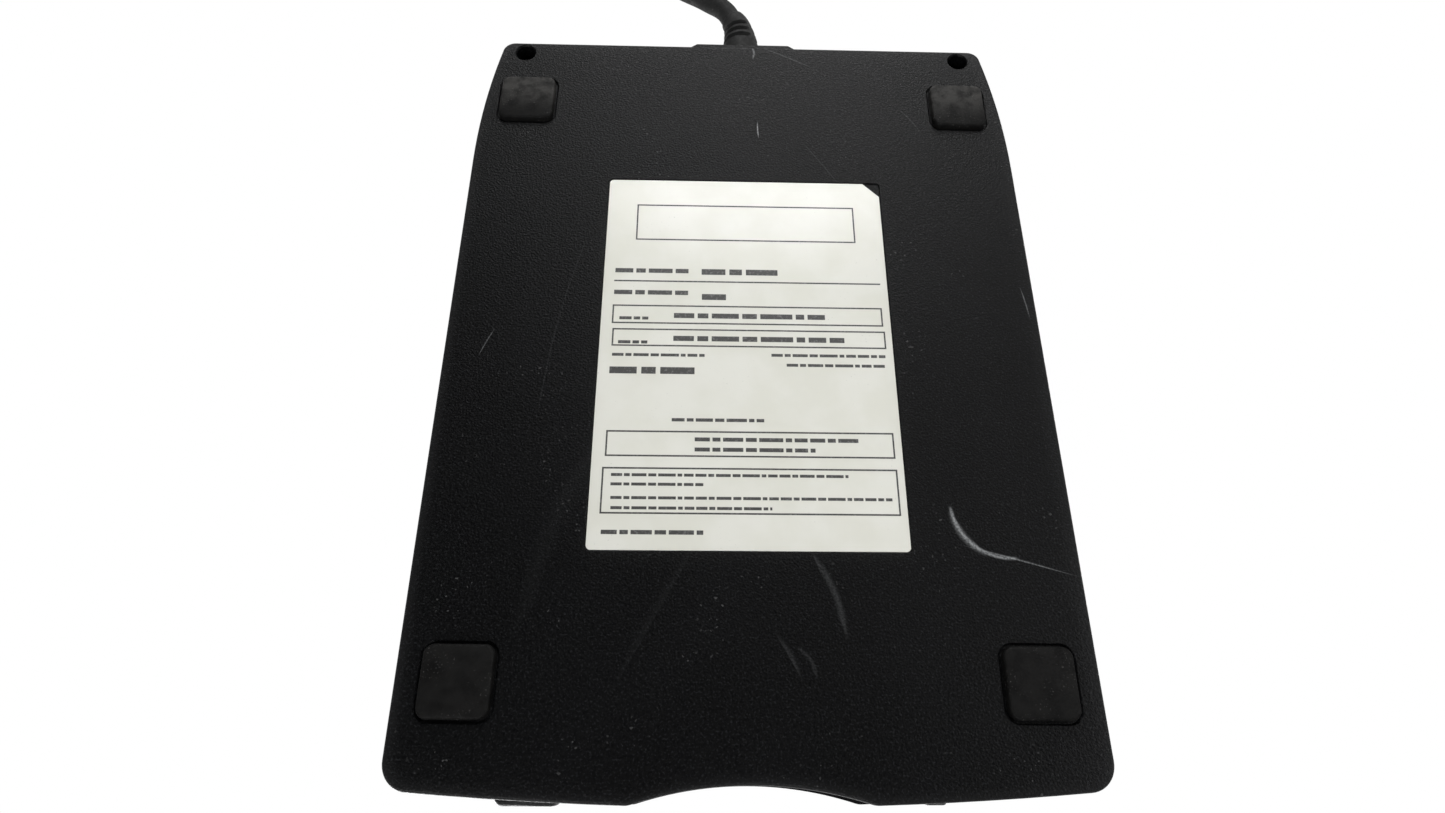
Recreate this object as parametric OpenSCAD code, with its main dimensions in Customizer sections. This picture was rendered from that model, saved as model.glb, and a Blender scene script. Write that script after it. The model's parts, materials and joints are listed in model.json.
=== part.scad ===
// A slim external floppy drive, taken apart into its separate pieces.
// X points right seen from the front, Y to the rear and Z up.
// The origin lies under the middle of the drive, on the surface that its feet stand on.
// The disk holder is raised and empty at rest, as it is between two disks.

/* [Case] */
// Width of the case
case_w = 104.5; // [102:0.5:120]
// Length of the case, from the bowed front to the rear wall
case_l = 143.5; // [140:0.5:165]
// Thickness of the side walls
wall = 1.8; // [1.5:0.1:2]
// Thickness of the floor
floor_t = 1.6; // [1.3:0.1:2.4]
// Thickness of the roof
roof_t = 1.6; // [1.3:0.1:2.4]
// Height of the bottom shell up to the joint between the shells
bottom_h = 8.1; // [7.6:0.1:8.6]
// Open joint between the two shells
parting_gap = 0.2; // [0.1:0.05:0.4]
// Radius of the bowed front
bow_r = 609; // [400:1:2000]
// Radius of the finger scoop in the front
scoop_r = 60; // [45:1:90]
// Depth of the finger scoop
scoop_depth = 2.87; // [1.5:0.01:3.5]
// Radius where the scoop runs out into the bow
lip_r = 3; // [2.8:0.1:5]
// Radius of the front corners
front_corner_r = 4.2; // [3:0.1:6]
// Radius of the sides where they draw in towards the rear
taper_r = 145; // [130:1:400]
// Length over which the sides draw in
taper_l = 30.65; // [20:0.05:34]
// Radius of the rear corners
rear_corner_r = 2.5; // [2.1:0.1:5]
// Rounding of the bottom edge
bottom_edge_r = 0.5; // [0.4:0.1:1.6]
// Rounding of the top edge
top_edge_r = 2; // [0.6:0.1:2]
// Rise of the pad round the cable outlet
pad_rise = 1.4; // [0.5:0.1:2]
// Width of that pad on its face
pad_w = 19; // [14:0.5:30]
// Run of the ramps at its two ends
pad_ramp = 2; // [1:0.1:4]

/* [Underside] */
// Side of a foot
foot_w = 10.6; // [8:0.1:12]
// Thickness of a foot
foot_t = 1.4; // [1.2:0.1:2.4]
// Depth of the recess that a foot sits in
foot_sink = 0.4; // [0.2:0.1:0.8]
// Corner radius of a foot
foot_r = 1.7; // [1:0.1:3]
// Side wall to the middle of a foot
foot_side = 9.2; // [8:0.1:12]
// Front bow to the middle of a front foot
foot_front = 16.75; // [12:0.05:22]
// Rear wall to the middle of a rear foot
foot_rear = 15.45; // [12:0.05:22]
// Width of the rating label
label_w = 51.3; // [30:0.1:58]
// Length of the rating label
label_l = 72.1; // [40:0.1:80]
// Thickness of the rating label
label_t = 0.15; // [0.05:0.01:0.2]
// Front bow to the front edge of the label
label_front = 36.54; // [30:0.01:45]
// Cut at one corner of the label
label_cut = 3; // [1:0.1:6]
// Diameter of the two screw wells
well_d = 3.85; // [3.2:0.05:4.4]
// Side wall to the middle of a well
well_side = 7.6; // [7:0.1:9]
// Rear wall to the edge of a well
well_edge = 0.85; // [0.6:0.05:2]

/* [Disk] */
// Width of the disk that the drive takes
disk_w = 90; // [89:0.1:90.4]
// Thickness of the disk
disk_t = 3.3; // [3.1:0.05:3.5]
// Front bow to the leading edge of a disk that is in
disk_depth = 98.85; // [97:0.05:100]
// Leading edge of the disk to its hub
hub_back = 40; // [39.5:0.1:40.5]
// Drop of the disk holder when a disk loads
load_drop = 2.4; // [2:0.1:2.6]

/* [Front] */
// Step from the case front back to the bezel
bezel_step = 0.6; // [0.3:0.1:1]
// Thickness of the bezel
bezel_t = 2; // [1.5:0.1:2.2]
// Side clearance of the disk in its slot
slot_side = 1.5; // [0.8:0.1:1.6]
// Thickness of the dust door
door_t = 1; // [0.8:0.1:1.2]
// Width of the eject button
button_w = 9.4; // [7:0.1:12]
// Height of the eject button
button_h = 3.6; // [2.6:0.1:4]
// Middle of the case to the middle of the button
button_x = 32; // [31:0.1:34]
// Corner radius of the button
button_r = 1; // [0.5:0.1:1.2]
// Reach of the button beyond the bow
button_out = 0.2; // [0.1:0.05:1]
// Travel of the button and the eject plate
eject_travel = 5; // [4:0.1:5.2]
// Middle of the case to the middle of the light pipe
pipe_x = 27; // [22:0.1:30]
// Width of the light pipe
pipe_w = 3; // [2:0.1:5]
// Height of the light pipe
pipe_h = 2; // [1.5:0.1:2.2]

/* [Drive] */
// Thickness of the chassis plate
chassis_t = 0.8; // [0.6:0.05:1]
// Thickness of the other sheet metal
sheet_t = 0.5; // [0.4:0.05:0.6]
// Radius of the rotor
rotor_r = 24; // [23:0.1:24.4]
// Number of stator teeth
stator_teeth = 12; // [6:3:18]
// Diameter of the spindle shaft
shaft_d = 3; // [2:0.1:4]
// Diameter of the pins that carry the disk holder
cage_pin_d = 1.6; // [1.2:0.1:2]
// Travel of the heads across the tracks
head_travel = 14.8; // [13:0.1:15]
// Hub to the heads over the outermost track
head_out = 39.5; // [39:0.1:40]
// Diameter of the guide rod
rod_d = 2.5; // [2:0.1:2.8]
// Diameter of the lead screw
screw_d = 3; // [2:0.1:3.4]
// Radius of the stepper motor
stepper_r = 5; // [4:0.1:5.1]
// Length of the stepper motor
stepper_l = 9.4; // [7:0.1:11]
// Angle by which the upper head arm is raised
arm_raise = 11.3; // [10:0.1:11.5]

/* [Board] */
// Width of the controller board
board_w = 31.5; // [28:0.5:32]
// Length of the controller board
board_l = 25.5; // [24:0.5:26]
// Thickness of the controller board
board_t = 1; // [0.8:0.1:1.6]
// Height of the bosses under the controller board
board_boss_h = 1.6; // [1.2:0.1:2.4]

/* [Cable] */
// Diameter of the cable
cord_d = 4.5; // [3.6:0.1:4.6]
// Diameter of the strain relief at its root
relief_d = 7.8; // [6.4:0.1:8]
// Diameter of the strain relief at its tip
relief_tip_d = 5.2; // [4.8:0.1:6.2]
// Step between turns of the put away coil
coil_pitch = 5; // [5:0.1:6]
// Full turns of the put away coil
coil_full_turns = 3; // [3:1:5]
// Width of the tie round the coil
tie_w = 6; // [3:0.5:10]
// Width of the plug overmould
plug_w = 15.5; // [14:0.1:17]
// Height of the plug overmould
plug_h = 7.8; // [7:0.1:9]
// Length of the plug overmould
plug_l = 28; // [22:0.5:34]

/* [Hidden] */
$fn = 48;

// Overrun of a cut, and the clearances that fits share
over = 1;
touch = 0.05;
fit = 0.1;
running = 0.03;
slip = 0.3;

// Colours
case_black = [0.075, 0.078, 0.085];
rubber_black = [0.05, 0.05, 0.052];
label_white = [0.86, 0.87, 0.88];
steel = [0.66, 0.67, 0.68];
dark_steel = [0.4, 0.41, 0.43];
board_green = [0.07, 0.3, 0.16];
copper = [0.72, 0.42, 0.2];
ivory = [0.82, 0.79, 0.7];
gold = [0.8, 0.65, 0.28];

// Heights, stacked from the surface up
bottom_z = foot_t - foot_sink;
floor_z = bottom_z + floor_t;
chassis_gap = 0.6;
chassis_z = floor_z + chassis_gap;
plate_z = chassis_z + chassis_t;
motor_board_t = 0.4;
stator_z = plate_z + motor_board_t;
stator_h = 1.6;
rotor_air = 0.5;
web_z = stator_z + stator_h + rotor_air;
web_t = 0.7;
web_top = web_z + web_t;
cage_air = 0.4;
cage_z = web_top + cage_air + load_drop;
disk_play = 1.1;
cage_room = disk_t + disk_play;
cage_top = cage_z + sheet_t + cage_room + sheet_t;
cover_z = cage_top + slip;
cover_top = cover_z + sheet_t;
roof_air = 0.6;
roof_z = cover_top + roof_air;
top_z = roof_z + roof_t;
parting_z = bottom_z + bottom_h;
upper_z = parting_z + parting_gap;
cord_z = parting_z + parting_gap / 2;

// Lengths, from the bow to the rear; the box from button to pad is centred on the origin
front_y = button_out - (button_out + case_l + pad_rise) / 2;
rear_y = front_y + case_l;
pad_y = rear_y + pad_rise;
bezel_back = front_y + scoop_depth + bezel_step + bezel_t;
door_gap = 0.28;
door_y = bezel_back + door_gap + door_t / 2;
disk_y = front_y + disk_depth;
spindle_y = disk_y - hub_back;
head_y = spindle_y + head_out;

// Widths, from the disk out to the case
half_w = case_w / 2;
cage_side = 0.3;
cage_in = disk_w / 2 + cage_side;
cage_out = cage_in + sheet_t;
eject_in = cage_out + cage_air;
eject_out = eject_in + sheet_t;
chassis_air = 0.7;
chassis_in = eject_out + chassis_air;
chassis_out = chassis_in + chassis_t;

// Outline of the case: arcs whose middles stay put while the outline is drawn in by an inset
scoop_cy = front_y + scoop_depth - scoop_r;
bow_cy = front_y + bow_r;
lip_cy = ((scoop_r + lip_r) ^ 2 - (bow_r - lip_r) ^ 2 + bow_cy ^ 2 - scoop_cy ^ 2)
    / (2 * (bow_cy - scoop_cy));
lip_cx = sqrt((scoop_r + lip_r) ^ 2 - (lip_cy - scoop_cy) ^ 2);
corner_cx = half_w - front_corner_r;
corner_cy = bow_cy - sqrt((bow_r - front_corner_r) ^ 2 - corner_cx ^ 2);
taper_y = rear_y - taper_l;
taper_cx = half_w - taper_r;
rear_cy = rear_y - rear_corner_r;
rear_cx = taper_cx + sqrt((taper_r - rear_corner_r) ^ 2 - (rear_cy - taper_y) ^ 2);
lip_a = atan2(lip_cy - scoop_cy, lip_cx);
bow_a = atan2(lip_cy - bow_cy, lip_cx);
corner_a = atan2(corner_cy - bow_cy, corner_cx);
taper_a = atan2(rear_cy - taper_y, rear_cx - taper_cx);

function arc(x, y, r, a, b, steps) =
    [for (k = [1:steps]) let (t = a + (b - a) * k / steps) [x + r * cos(t), y + r * sin(t)]];
function mirrored(points) = [for (k = [len(points) - 1:-1:0]) [-points[k][0], points[k][1]]];
function front_half(inset) = concat(
    arc(0, scoop_cy, scoop_r + inset, 90, lip_a, 6),
    arc(lip_cx, lip_cy, lip_r - inset, lip_a - 180, bow_a, 4),
    arc(0, bow_cy, bow_r - inset, bow_a, corner_a, 5));
function side_half(inset) = concat(
    front_half(inset),
    arc(corner_cx, corner_cy, front_corner_r - inset, corner_a, 0, 6),
    [[half_w - inset, taper_y]],
    arc(taper_cx, taper_y, taper_r - inset, 0, taper_a, 5),
    arc(rear_cx, rear_cy, rear_corner_r - inset, taper_a, 90, 4));
function outline(inset) = concat(
    [[0, front_y + scoop_depth + inset]],
    side_half(inset),
    mirrored(side_half(inset)));
function front_line(inset) = concat(
    mirrored(front_half(inset)),
    [[0, front_y + scoop_depth + inset]],
    front_half(inset));
function backwards(points) = [for (k = [len(points) - 1:-1:0]) points[k]];
// Front of the bow at a distance from the middle
function bow_y(x) = bow_cy - sqrt(bow_r ^ 2 - x ^ 2);

// Rows of [height, inset] that round an edge
edge_steps = 4;
function edge_down(z, r) =
    [for (k = [0:edge_steps]) let (a = 90 * k / edge_steps) [z + r * (1 - sin(a)), r * (1 - cos(a))]];
function edge_up(z, r) =
    [for (k = [0:edge_steps]) let (a = 90 * k / edge_steps) [z - r * (1 - sin(a)), r * (1 - cos(a))]];

// Two shells lock with a tongue on the upper one behind a lip on the lower one
tongue_t = wall / 2 - fit / 2;
tongue_h = 1;
tongue_z = upper_z - tongue_h - parting_gap;

// Bezel and its openings
bezel_side = 0.3;
bezel_x = corner_cx - bezel_side;
bezel_z = floor_z + fit;
bezel_top = roof_z - fit;
slot_x = disk_w / 2 + slot_side;
slot_z = cage_z + sheet_t;
slot_top = cage_top - sheet_t + fit;
ear_t = 0.7;
ear_back = 0.9;
ear_h = 2.6;

// Dust door
door_lap = 0.25;
door_z = slot_top + slip;
door_low = slot_z - door_lap;
door_x = bezel_x - ear_t - 2 * fit;
door_pin_r = 0.6;
door_barrel_r = 0.75;
door_core_r = 0.5;
door_notch_in = 6.1;
door_notch_x = door_x - door_notch_in;
door_notch_w = 4;
door_spring_r = 0.85;
door_wire = 0.3;
door_curls = 4;
door_plate_top = door_z - door_spring_r - door_wire - fit;
spring_rings = 8;

// Disk holder, chassis and eject plate along the drive
cage_gap = 0.55;
head_l = 3.4;
cage_y = door_y + door_z - door_low + cage_gap;
cage_end = disk_y - sheet_t;
flange_w = 12;
strip_w = 7.5;
window_w = 14;
window_l = head_travel + 2 * head_l;
chassis_y = cage_y - sheet_t;
chassis_wall_end = disk_y + sheet_t;
chassis_past = 2.5;
chassis_end = disk_y + chassis_past;
tail_x = 14;
tail_gap = 4.15;
tail_end = rear_y - tail_gap;
pin_front = 14.5;
pin_rear = 12;
pin_drop = 2.7;
pin_ys = [cage_y + pin_front, cage_end - pin_rear];
pin_z = cage_top - pin_drop;
pin_slot_r = cage_pin_d / 2 + fit;
pin_proud = 0.7;
pin_end = chassis_out + pin_proud;
eject_z = plate_z + slip;
eject_rim = 0.4;
eject_top = pin_z + pin_slot_r + eject_rim;
eject_strip_x = 40;
eject_strip_w = 8;
eject_short = 3;
eject_end = cage_end - eject_short;
eject_wall_y = chassis_y + eject_strip_w;

// Eject button and the tab that it is pinned to
button_gap = 0.25;
button_low = 1.3;
button_z = bezel_z + button_low;
button_stem_w = 4;
button_peg_r = 0.7;
button_tip = front_y - button_out;
button_tuck = 1.6;
button_back = bezel_back + eject_travel - button_tuck;
button_tab_w = 6;
button_mid = button_z + button_h / 2;

// Eject springs
hook_x = 37.5;
hook_w = 1.2;
hook_h = 2.6;
hook_back = 15.5;
eject_tab_back = 40;
eject_spring_r = 1;
eject_wire = 0.4;
eject_curls = 11;
eject_spring_up = 1.9;
eject_spring_z = plate_z + eject_spring_up;
eject_tab_y = chassis_y + eject_tab_back;
hook_y = chassis_y + hook_back;

// Activity lamp
pipe_proud = 0.3;
pipe_z = eject_z + sheet_t + slip + pipe_h / 2 + slip;
led_r = 1.2;
led_l = 1.9;
lamp_board_w = 10;
lamp_board_h = 4.4;
lamp_board_t = 0.8;
lamp_back = 1.3;
lamp_y = bezel_back + lamp_back;
lamp_z = eject_z + sheet_t + slip;
rib_t = 0.7;

// Feet, label and case screws
recess_gap = 0.35;
label_sink = 0.25;
label_gap = 0.15;
label_r = 0.8;
label_y = front_y + label_front + label_l / 2;
foot_places = [
    [-(half_w - foot_side), front_y + foot_front],
    [half_w - foot_side, front_y + foot_front],
    [-(half_w - foot_side), rear_y - foot_rear],
    [half_w - foot_side, rear_y - foot_rear]];
well_x = half_w - well_side;
well_y = rear_y - well_edge - well_d / 2;
well_wall = 1.2;
well_top = tongue_z - fit;
well_seat_t = 1.2;
tail_out = well_x - well_d / 2 - well_wall - slip;
post_r = 2.75;
case_screw_r = 1;
case_screw_l = 8;
case_head_r = 1.75;
case_head_h = 1.3;
recess_depth_top = 0.3;
name_w = 30;
name_l = 9;
name_front = 14;

// Small screws of the chassis, the cover and the board
small_screw_r = 0.8;
small_head_r = 1.75;
small_head_h = 1;
flat_head_h = 0.45;
cross_w = 0.5;
cross_l = 2;
chassis_boss_r = 2.6;
chassis_screw_x = 34;
chassis_screw_front = 20;
chassis_screw_rear = 6;
chassis_screws_y = [chassis_y + chassis_screw_front, chassis_wall_end - chassis_screw_rear];
screw_reach = floor_t / 2 + chassis_gap;

// Cover
cover_side = 0.1;
cover_past = 6;
cover_end = disk_y + cover_past;
skirt_drop = 2.3;
notch_w = 16;
notch_past = 17.5;
notch_y = spindle_y + notch_past;
tower_w = 5;
tower_out = 46;
tower_gap = 1.5;
tower_y = disk_y + tower_gap;
cover_screw_y = (tower_y + cover_end) / 2;
cover_screw_x = tower_out - tower_w / 2;

// Spindle
skirt_t = 1.4;
magnet_t = 2.5;
magnet_h = 1.5;
chuck_r = 11;
chuck_h = 1.4;
centre_pin_h = 1.3;
drive_pin_r = 0.8;
drive_pin_at = 9.8;
drive_pin_h = 1;
bush_r = 3;
bush_flange_r = 4.5;
bush_flange_t = 0.5;
bush_top = web_z - slip;
core_r = 9.5;
core_in = 7.5;
tooth_w = 1.2;
tooth_r = 18.8;
coil_block_w = 3;
coil_block_in = 11.2;
coil_block_out = 17.4;
motor_board_w = 60;
motor_board_l = 53;

// Heads, carriage, rod and screw
carriage_gap = 16;
carriage_l = 13;
carriage_y = head_y + carriage_gap;
carriage_left = 12.6;
carriage_right = 6;
carriage_low = plate_z + 2 * slip;
carriage_up = 2.3;
carriage_top = web_top + carriage_up;
rod_x = -9.5;
rod_up = 2.4;
rod_z = plate_z + rod_up;
rod_support_t = 2;
rod_support_w = 5;
rod_support_h = 3.6;
rod_front_back = 3.5;
rod_front_y = disk_y - rod_front_back;
rod_rear_gap = 2;
rod_rear_y = carriage_y + carriage_l + rod_rear_gap;
arm_w = 8;
lower_arm_z = web_top + slip;
lower_arm_t = 1.1;
head_w = 3;
lower_head_h = 1;
upper_head_h = 0.5;
pivot_y = carriage_y + carriage_l / 2;
pivot_up = 2;
pivot_z = cage_z + pivot_up;
pivot_r = 0.8;
ear_l = 4;
ear_w = 1.2;
ear_round = 1.6;
arm_in_w = arm_w - 2 * slip;
upper_arm_t = 0.8;
screw_x = 11.5;
screw_z = plate_z + stepper_r + 2 * fit;
screw_front_gap = 3.5;
screw_front_y = disk_y + screw_front_gap;
screw_block_w = 6;
screw_block_h = 7.4;
tip_r = 0.6;
thread_y = screw_front_y + rod_support_t + fit;
thread_gap = 0.5;
follower_y = 7;
follower_l = 5;
follower_half = 3;
follower_low = 2.2;
bracket_t = 0.8;
bracket_w = 12;
bracket_y = carriage_y + carriage_l + slip;
bracket_h = 10.5;
motor_boss_r = 2;
stepper_y = bracket_y + bracket_t;
sensor_w = 6;
sensor_l = 3;
sensor_h = 4;
sensor_slot = 2.4;
sensor_gap = 1.2;
sensor_y = bracket_y + sensor_gap;
flag_w = 1;
flag_l = 3;
flag_z = 2.4;

// Shutter lever
lever_x = -38;
lever_past = 6.5;
lever_y = disk_y + lever_past;
lever_l = 22.9;
lever_rest = -72;
lever_w = 4;
lever_t = 0.6;
lever_up = 2;
lever_z = stator_z + lever_up;
lever_post_r = 1.5;
lever_boss_r = 2.5;
lever_pin_r = 1;
lever_pin_up = 2.2;
lever_pin_top = cage_z + lever_pin_up;
lever_post_up = 3.6;
lever_post_top = lever_z + lever_post_up;
lever_spring_r = 2;
lever_wire = 0.4;
lever_curls = 4;
lever_ear_w = 10;
lever_ear_end = 3.5;

// Switches at the front, and their plungers
switch_w = 5;
switch_h = 3;
switch_back = 13;
switch_y = chassis_y + switch_back;
switch_out = 30;
switch_step = 8;
switch_xs = [-switch_out, switch_out, switch_out - switch_step];
plunger_r = 0.8;
plunger_travel = 1.2;
plunger_top = web_top + plunger_travel;
plunger_deep = 2.2;

// Controller board and what is on it
board_side = 1.7;
board_x = board_side - chassis_out;
board_past = 10.5;
board_y = disk_y + board_past;
board_z = floor_z + board_boss_h;
board_top = board_z + board_t;
board_inset = 3;
board_boss_r = 2;
chip_w = 11;
chip_h = 1.6;
chip_share = [0.43, 0.573];
small_chip = [3.6, 4.6, 1.4];
small_chip_share = [0.083, 0.43];
regulator = [6, 3.6, 1.5];
regulator_share = [0.778, 0.43];
crystal_l = 11;
crystal_w = 4.4;
crystal_h = 3.4;
crystal_share = [0.26, 0.157];
flat_socket = [11, 3.6, 2.2];
flat_socket_share = [0.533, 0.205];
header = [6.5, 7, 4.6];
header_share = [0.632, 0.698];
cap_r = 2.2;
cap_h = 5.4;
cap_shares = [[0.28, 0.886], [0.45, 0.886]];
function on_plan(share) = [board_x + share[0] * board_w, board_y + share[1] * board_l];
flat_socket_at = on_plan(flat_socket_share);
header_at = on_plan(header_share);

// Flat cable from the motor board to the controller board
ribbon_t = 0.3;
ribbon_w = 8;
ribbon_x = flat_socket_at[0] + flat_socket[0] / 2;
ribbon_past = 21;
ribbon_y = spindle_y + ribbon_past;
ribbon_low = stator_z + touch;
ribbon_high = board_top + touch;
ribbon_rise = 4;

// Inner lead from the strain relief to the header
inner_r = 1.6;
flange_r = 4.2;
flange_t = 1.2;
neck_r = 2.9;
relief_in = rear_y - wall - touch - flange_t;
inner_end_x = header_at[0] + header[0];
inner_y = header_at[1] + header[1] / 2;
inner_z = board_top + header[2] - inner_r;
inner_back = 3;
inner_run = 5;
inner_clear = 1.2;
inner_line_y = rod_rear_y + rod_support_t + inner_r + inner_clear;
inner_turn = 3;

// Cable: points chosen by hand along the middle of the cord, from the pad to the coil
cord_r = cord_d / 2;
relief_route = [[0, 72.6, 9.2], [0, 75.6, 9.2], [0, 78.6, 9.2], [0.1, 81.3, 9.2], [0.4, 83.8, 9.2],
    [0.9, 86, 9.2], [2, 88, 9.1]];
relief_plain_share = 0.45;
lead_points = [[2, 88, 9.1], [3.1, 90, 9], [4.6, 91.5, 8.9], [6.7, 92.8, 8.8], [9.2, 94.3, 8.6],
    [12.2, 95.7, 8.3], [15.6, 97.1, 7.6], [19.2, 98.3, 6.7], [23, 99.2, 5.5], [26.4, 100.1, 4.2],
    [29.4, 101.3, 3.2]];
tail_points = [[5, 162.9, 7.4], [0, 162.8, 6.6], [-3.6, 162.6, 5.6], [-7.4, 161.8, 4.5],
    [-11.2, 160.2, 3.5], [-14.6, 157.9, 3.1], [-17.6, 154.9, 3.3], [-20.1, 151.6, 3.9], [-21.6, 149, 3.9]];

// Coil: it spirals in on the lower layer and out again on the upper one
coil_mean_r = 26.5;
coil_place = [19, 132];
coil_start = -50;
coil_end = 90;
coil_turns = coil_full_turns + (coil_end - coil_start) / 360;
coil_rings = 24;
coil_sides = 6;
cord_sides = 8;
relief_sides = 12;
wire_sides = 6;
layer_step = coil_pitch;
tie_t = 0.4;
tie_gap = 0.6;
tie_low = 0.05;
coil_z = tie_low + tie_t + fit + cord_r;
coil_in = coil_mean_r - coil_pitch * coil_turns / 4;
climb_turns = 0.5;
tie_angle = 35;
function coil_r(t) = coil_in + coil_pitch * abs(t - coil_turns / 2);
function coil_height(t) =
    coil_z + layer_step * smooth((t - coil_turns / 2 + climb_turns / 2) / climb_turns);
function smooth(s) = let (c = min(max(s, 0), 1)) c * c * (3 - 2 * c);
function coil_point(t) = [
    coil_place[0] + coil_r(t) * cos(coil_start + 360 * t),
    coil_place[1] + coil_r(t) * sin(coil_start + 360 * t),
    coil_height(t)];
coil_count = ceil(coil_turns * coil_rings);
coil_loops = [for (k = [0:coil_count]) coil_point(coil_turns * k / coil_count)];
coil_sliver = 0.001;
function coil_way(t) = unit(coil_point(t + coil_sliver) - coil_point(t - coil_sliver));
coil_head = coil_point(0) - cord_d * coil_way(0);
coil_foot = coil_point(coil_turns) + cord_d * coil_way(coil_turns);
coil_path = concat([coil_head], coil_loops, [coil_foot]);
lead_route = concat(lead_points, [coil_head - cord_d * coil_way(0), coil_head]);
tail_route = concat([coil_foot, coil_foot + cord_d * coil_way(coil_turns)], tail_points);
near_steps = floor(coil_rings / 2);
coil_gap = min([for (i = [0:coil_count]) for (j = [i + near_steps:1:coil_count])
    norm(coil_loops[i] - coil_loops[j])]) - cord_d;
function route_length(p) = len(p) < 2 ? 0 : sum_steps(p, 1, 0);
function sum_steps(p, i, total) = i == len(p) ? total : sum_steps(p, i + 1, total + norm(p[i] - p[i - 1]));

// Plug
plug_boot_l = 7;
plug_boot_d = 6.4;
plug_r = 1.4;
plug_at = tail_points[len(tail_points) - 1];
plug_turn = -30;
plug_shell_w = 12;
plug_shell_h = 4.5;
plug_shell_l = 18.8;
plug_shell_t = 0.3;
plug_in_w = plug_shell_w - 2 * plug_shell_t;
plug_in_h = plug_shell_h - 2 * plug_shell_t;
plug_window = 2.5;
plug_window_gap = 2.2;
plug_window_at = 6;
plug_tongue_t = 1.8;
plug_root = 1.5;

function unit(v) = v / norm(v);
function tangent(p, i) = unit(p[min(i + 1, len(p) - 1)] - p[max(i - 1, 0)]);
function across(t) = unit(cross(t, abs(t[2]) < 0.9 ? [0, 0, 1] : [1, 0, 0]));
function carried(n, t) = unit(n - (n * t) * t);
function normals(p) = [for (i = 0, n = across(tangent(p, 0));
    i < len(p);
    i = i + 1, n = carried(n, tangent(p, min(i, len(p) - 1)))) n];

// A tube swept along points, with one radius for each point
module swept(p, radii, sides) {
    n = normals(p);
    last = len(p) - 1;
    points = [for (i = [0:last]) let (t = tangent(p, i), u = n[i], v = cross(t, u))
        for (s = [0:sides - 1]) p[i] + radii[i] * (cos(360 * s / sides) * u + sin(360 * s / sides) * v)];
    walls = [for (i = [0:last - 1]) for (s = [0:sides - 1])
        let (a = i * sides + s, b = i * sides + (s + 1) % sides) each [
            [a, a + sides, b + sides],
            [a, b + sides, b]]];
    start = [for (s = [1:sides - 2]) [0, s, s + 1]];
    stop = [for (s = [1:sides - 2]) [last * sides, last * sides + s + 1, last * sides + s]];
    polyhedron(points, concat(walls, start, stop));
}

module tube(p, r, sides) {
    swept(p, [for (k = p) r], sides);
}

// A helix round the Z axis with wire of the given thickness
module helix(r, wire, height, curls) {
    steps = curls * spring_rings;
    tube([for (k = [0:steps])
        let (a = 360 * k / spring_rings) [r * cos(a), r * sin(a), height * k / steps]],
        wire / 2, wire_sides);
}

module block(low, high) {
    translate(low)
        cube(high - low);
}

module both_sides() {
    children();
    mirror([1, 0, 0])
        children();
}

// A flat plate with true round corners, its low corner at the origin
module rounded(size, r) {
    block([r, 0, 0], [size[0] - r, size[1], size[2]]);
    block([0, r, 0], [size[0], size[1] - r, size[2]]);
    for (x = [r, size[0] - r]) {
        for (y = [r, size[1] - r]) {
            translate([x, y, 0])
                cylinder(r = r, h = size[2]);
        }
    }
}

module rod_y(x, z, r, y, end) {
    translate([x, y, z])
        rotate([-90, 0, 0])
            cylinder(r = r, h = end - y);
}

module rod_x(y, z, r, x, end) {
    translate([x, y, z])
        rotate([0, 90, 0])
            cylinder(r = r, h = end - x);
}

// A screw, head up, its seat at the origin
module screw(shaft_r, reach, head_r, head_h) {
    difference() {
        union() {
            translate([0, 0, -reach])
                cylinder(r = shaft_r, h = reach + head_h / 2);
            cylinder(r = head_r, h = head_h);
        }
        for (turn = [0, 90]) {
            rotate([0, 0, turn])
                translate([-cross_l * head_r / small_head_r / 2, -cross_w / 2, head_h / 2])
                    cube([cross_l * head_r / small_head_r, cross_w, head_h]);
        }
    }
}

// A slot along a straight line in a wall that faces X
module slot_x_wall(from, to, r, x, end) {
    rod_x(from[0], from[1], r, x, end);
    rod_x(to[0], to[1], r, x, end);
    translate([x, from[0], from[1]])
        rotate([atan2(to[1] - from[1], to[0] - from[0]), 0, 0])
            translate([0, 0, -r])
                cube([end - x, norm(to - from), 2 * r]);
}

// A closed skin through rows of height and inset
module skin(rows) {
    ring = len(outline(0));
    last = len(rows) - 1;
    points = [for (row = rows) for (q = outline(row[1])) [q[0], q[1], row[0]]];
    walls = [for (j = [0:last - 1]) for (k = [0:ring - 1])
        [j * ring + k, (j + 1) * ring + k, (j + 1) * ring + (k + 1) % ring, j * ring + (k + 1) % ring]];
    low = [for (k = [0:ring - 1]) k];
    high = [for (k = [ring - 1:-1:0]) last * ring + k];
    polyhedron(points, concat(walls, [low, high]));
}

module slab(inset, low, high) {
    translate([0, 0, low])
        linear_extrude(high - low)
            polygon(outline(inset));
}

module cable_pad(low, high) {
    translate([0, 0, low])
        linear_extrude(high - low)
            polygon([
                [-pad_w / 2 - pad_ramp, rear_y - wall / 2],
                [-pad_w / 2 - pad_ramp, rear_y],
                [-pad_w / 2, pad_y],
                [pad_w / 2, pad_y],
                [pad_w / 2 + pad_ramp, rear_y],
                [pad_w / 2 + pad_ramp, rear_y - wall / 2]]);
}

module cable_hole() {
    rod_y(0, cord_z, neck_r + fit, rear_y - wall - over, pad_y + over);
}

module front_cut(low, high) {
    block([-bezel_x - fit, front_y - over, low], [bezel_x + fit, bezel_back - bezel_step, high]);
}

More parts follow.
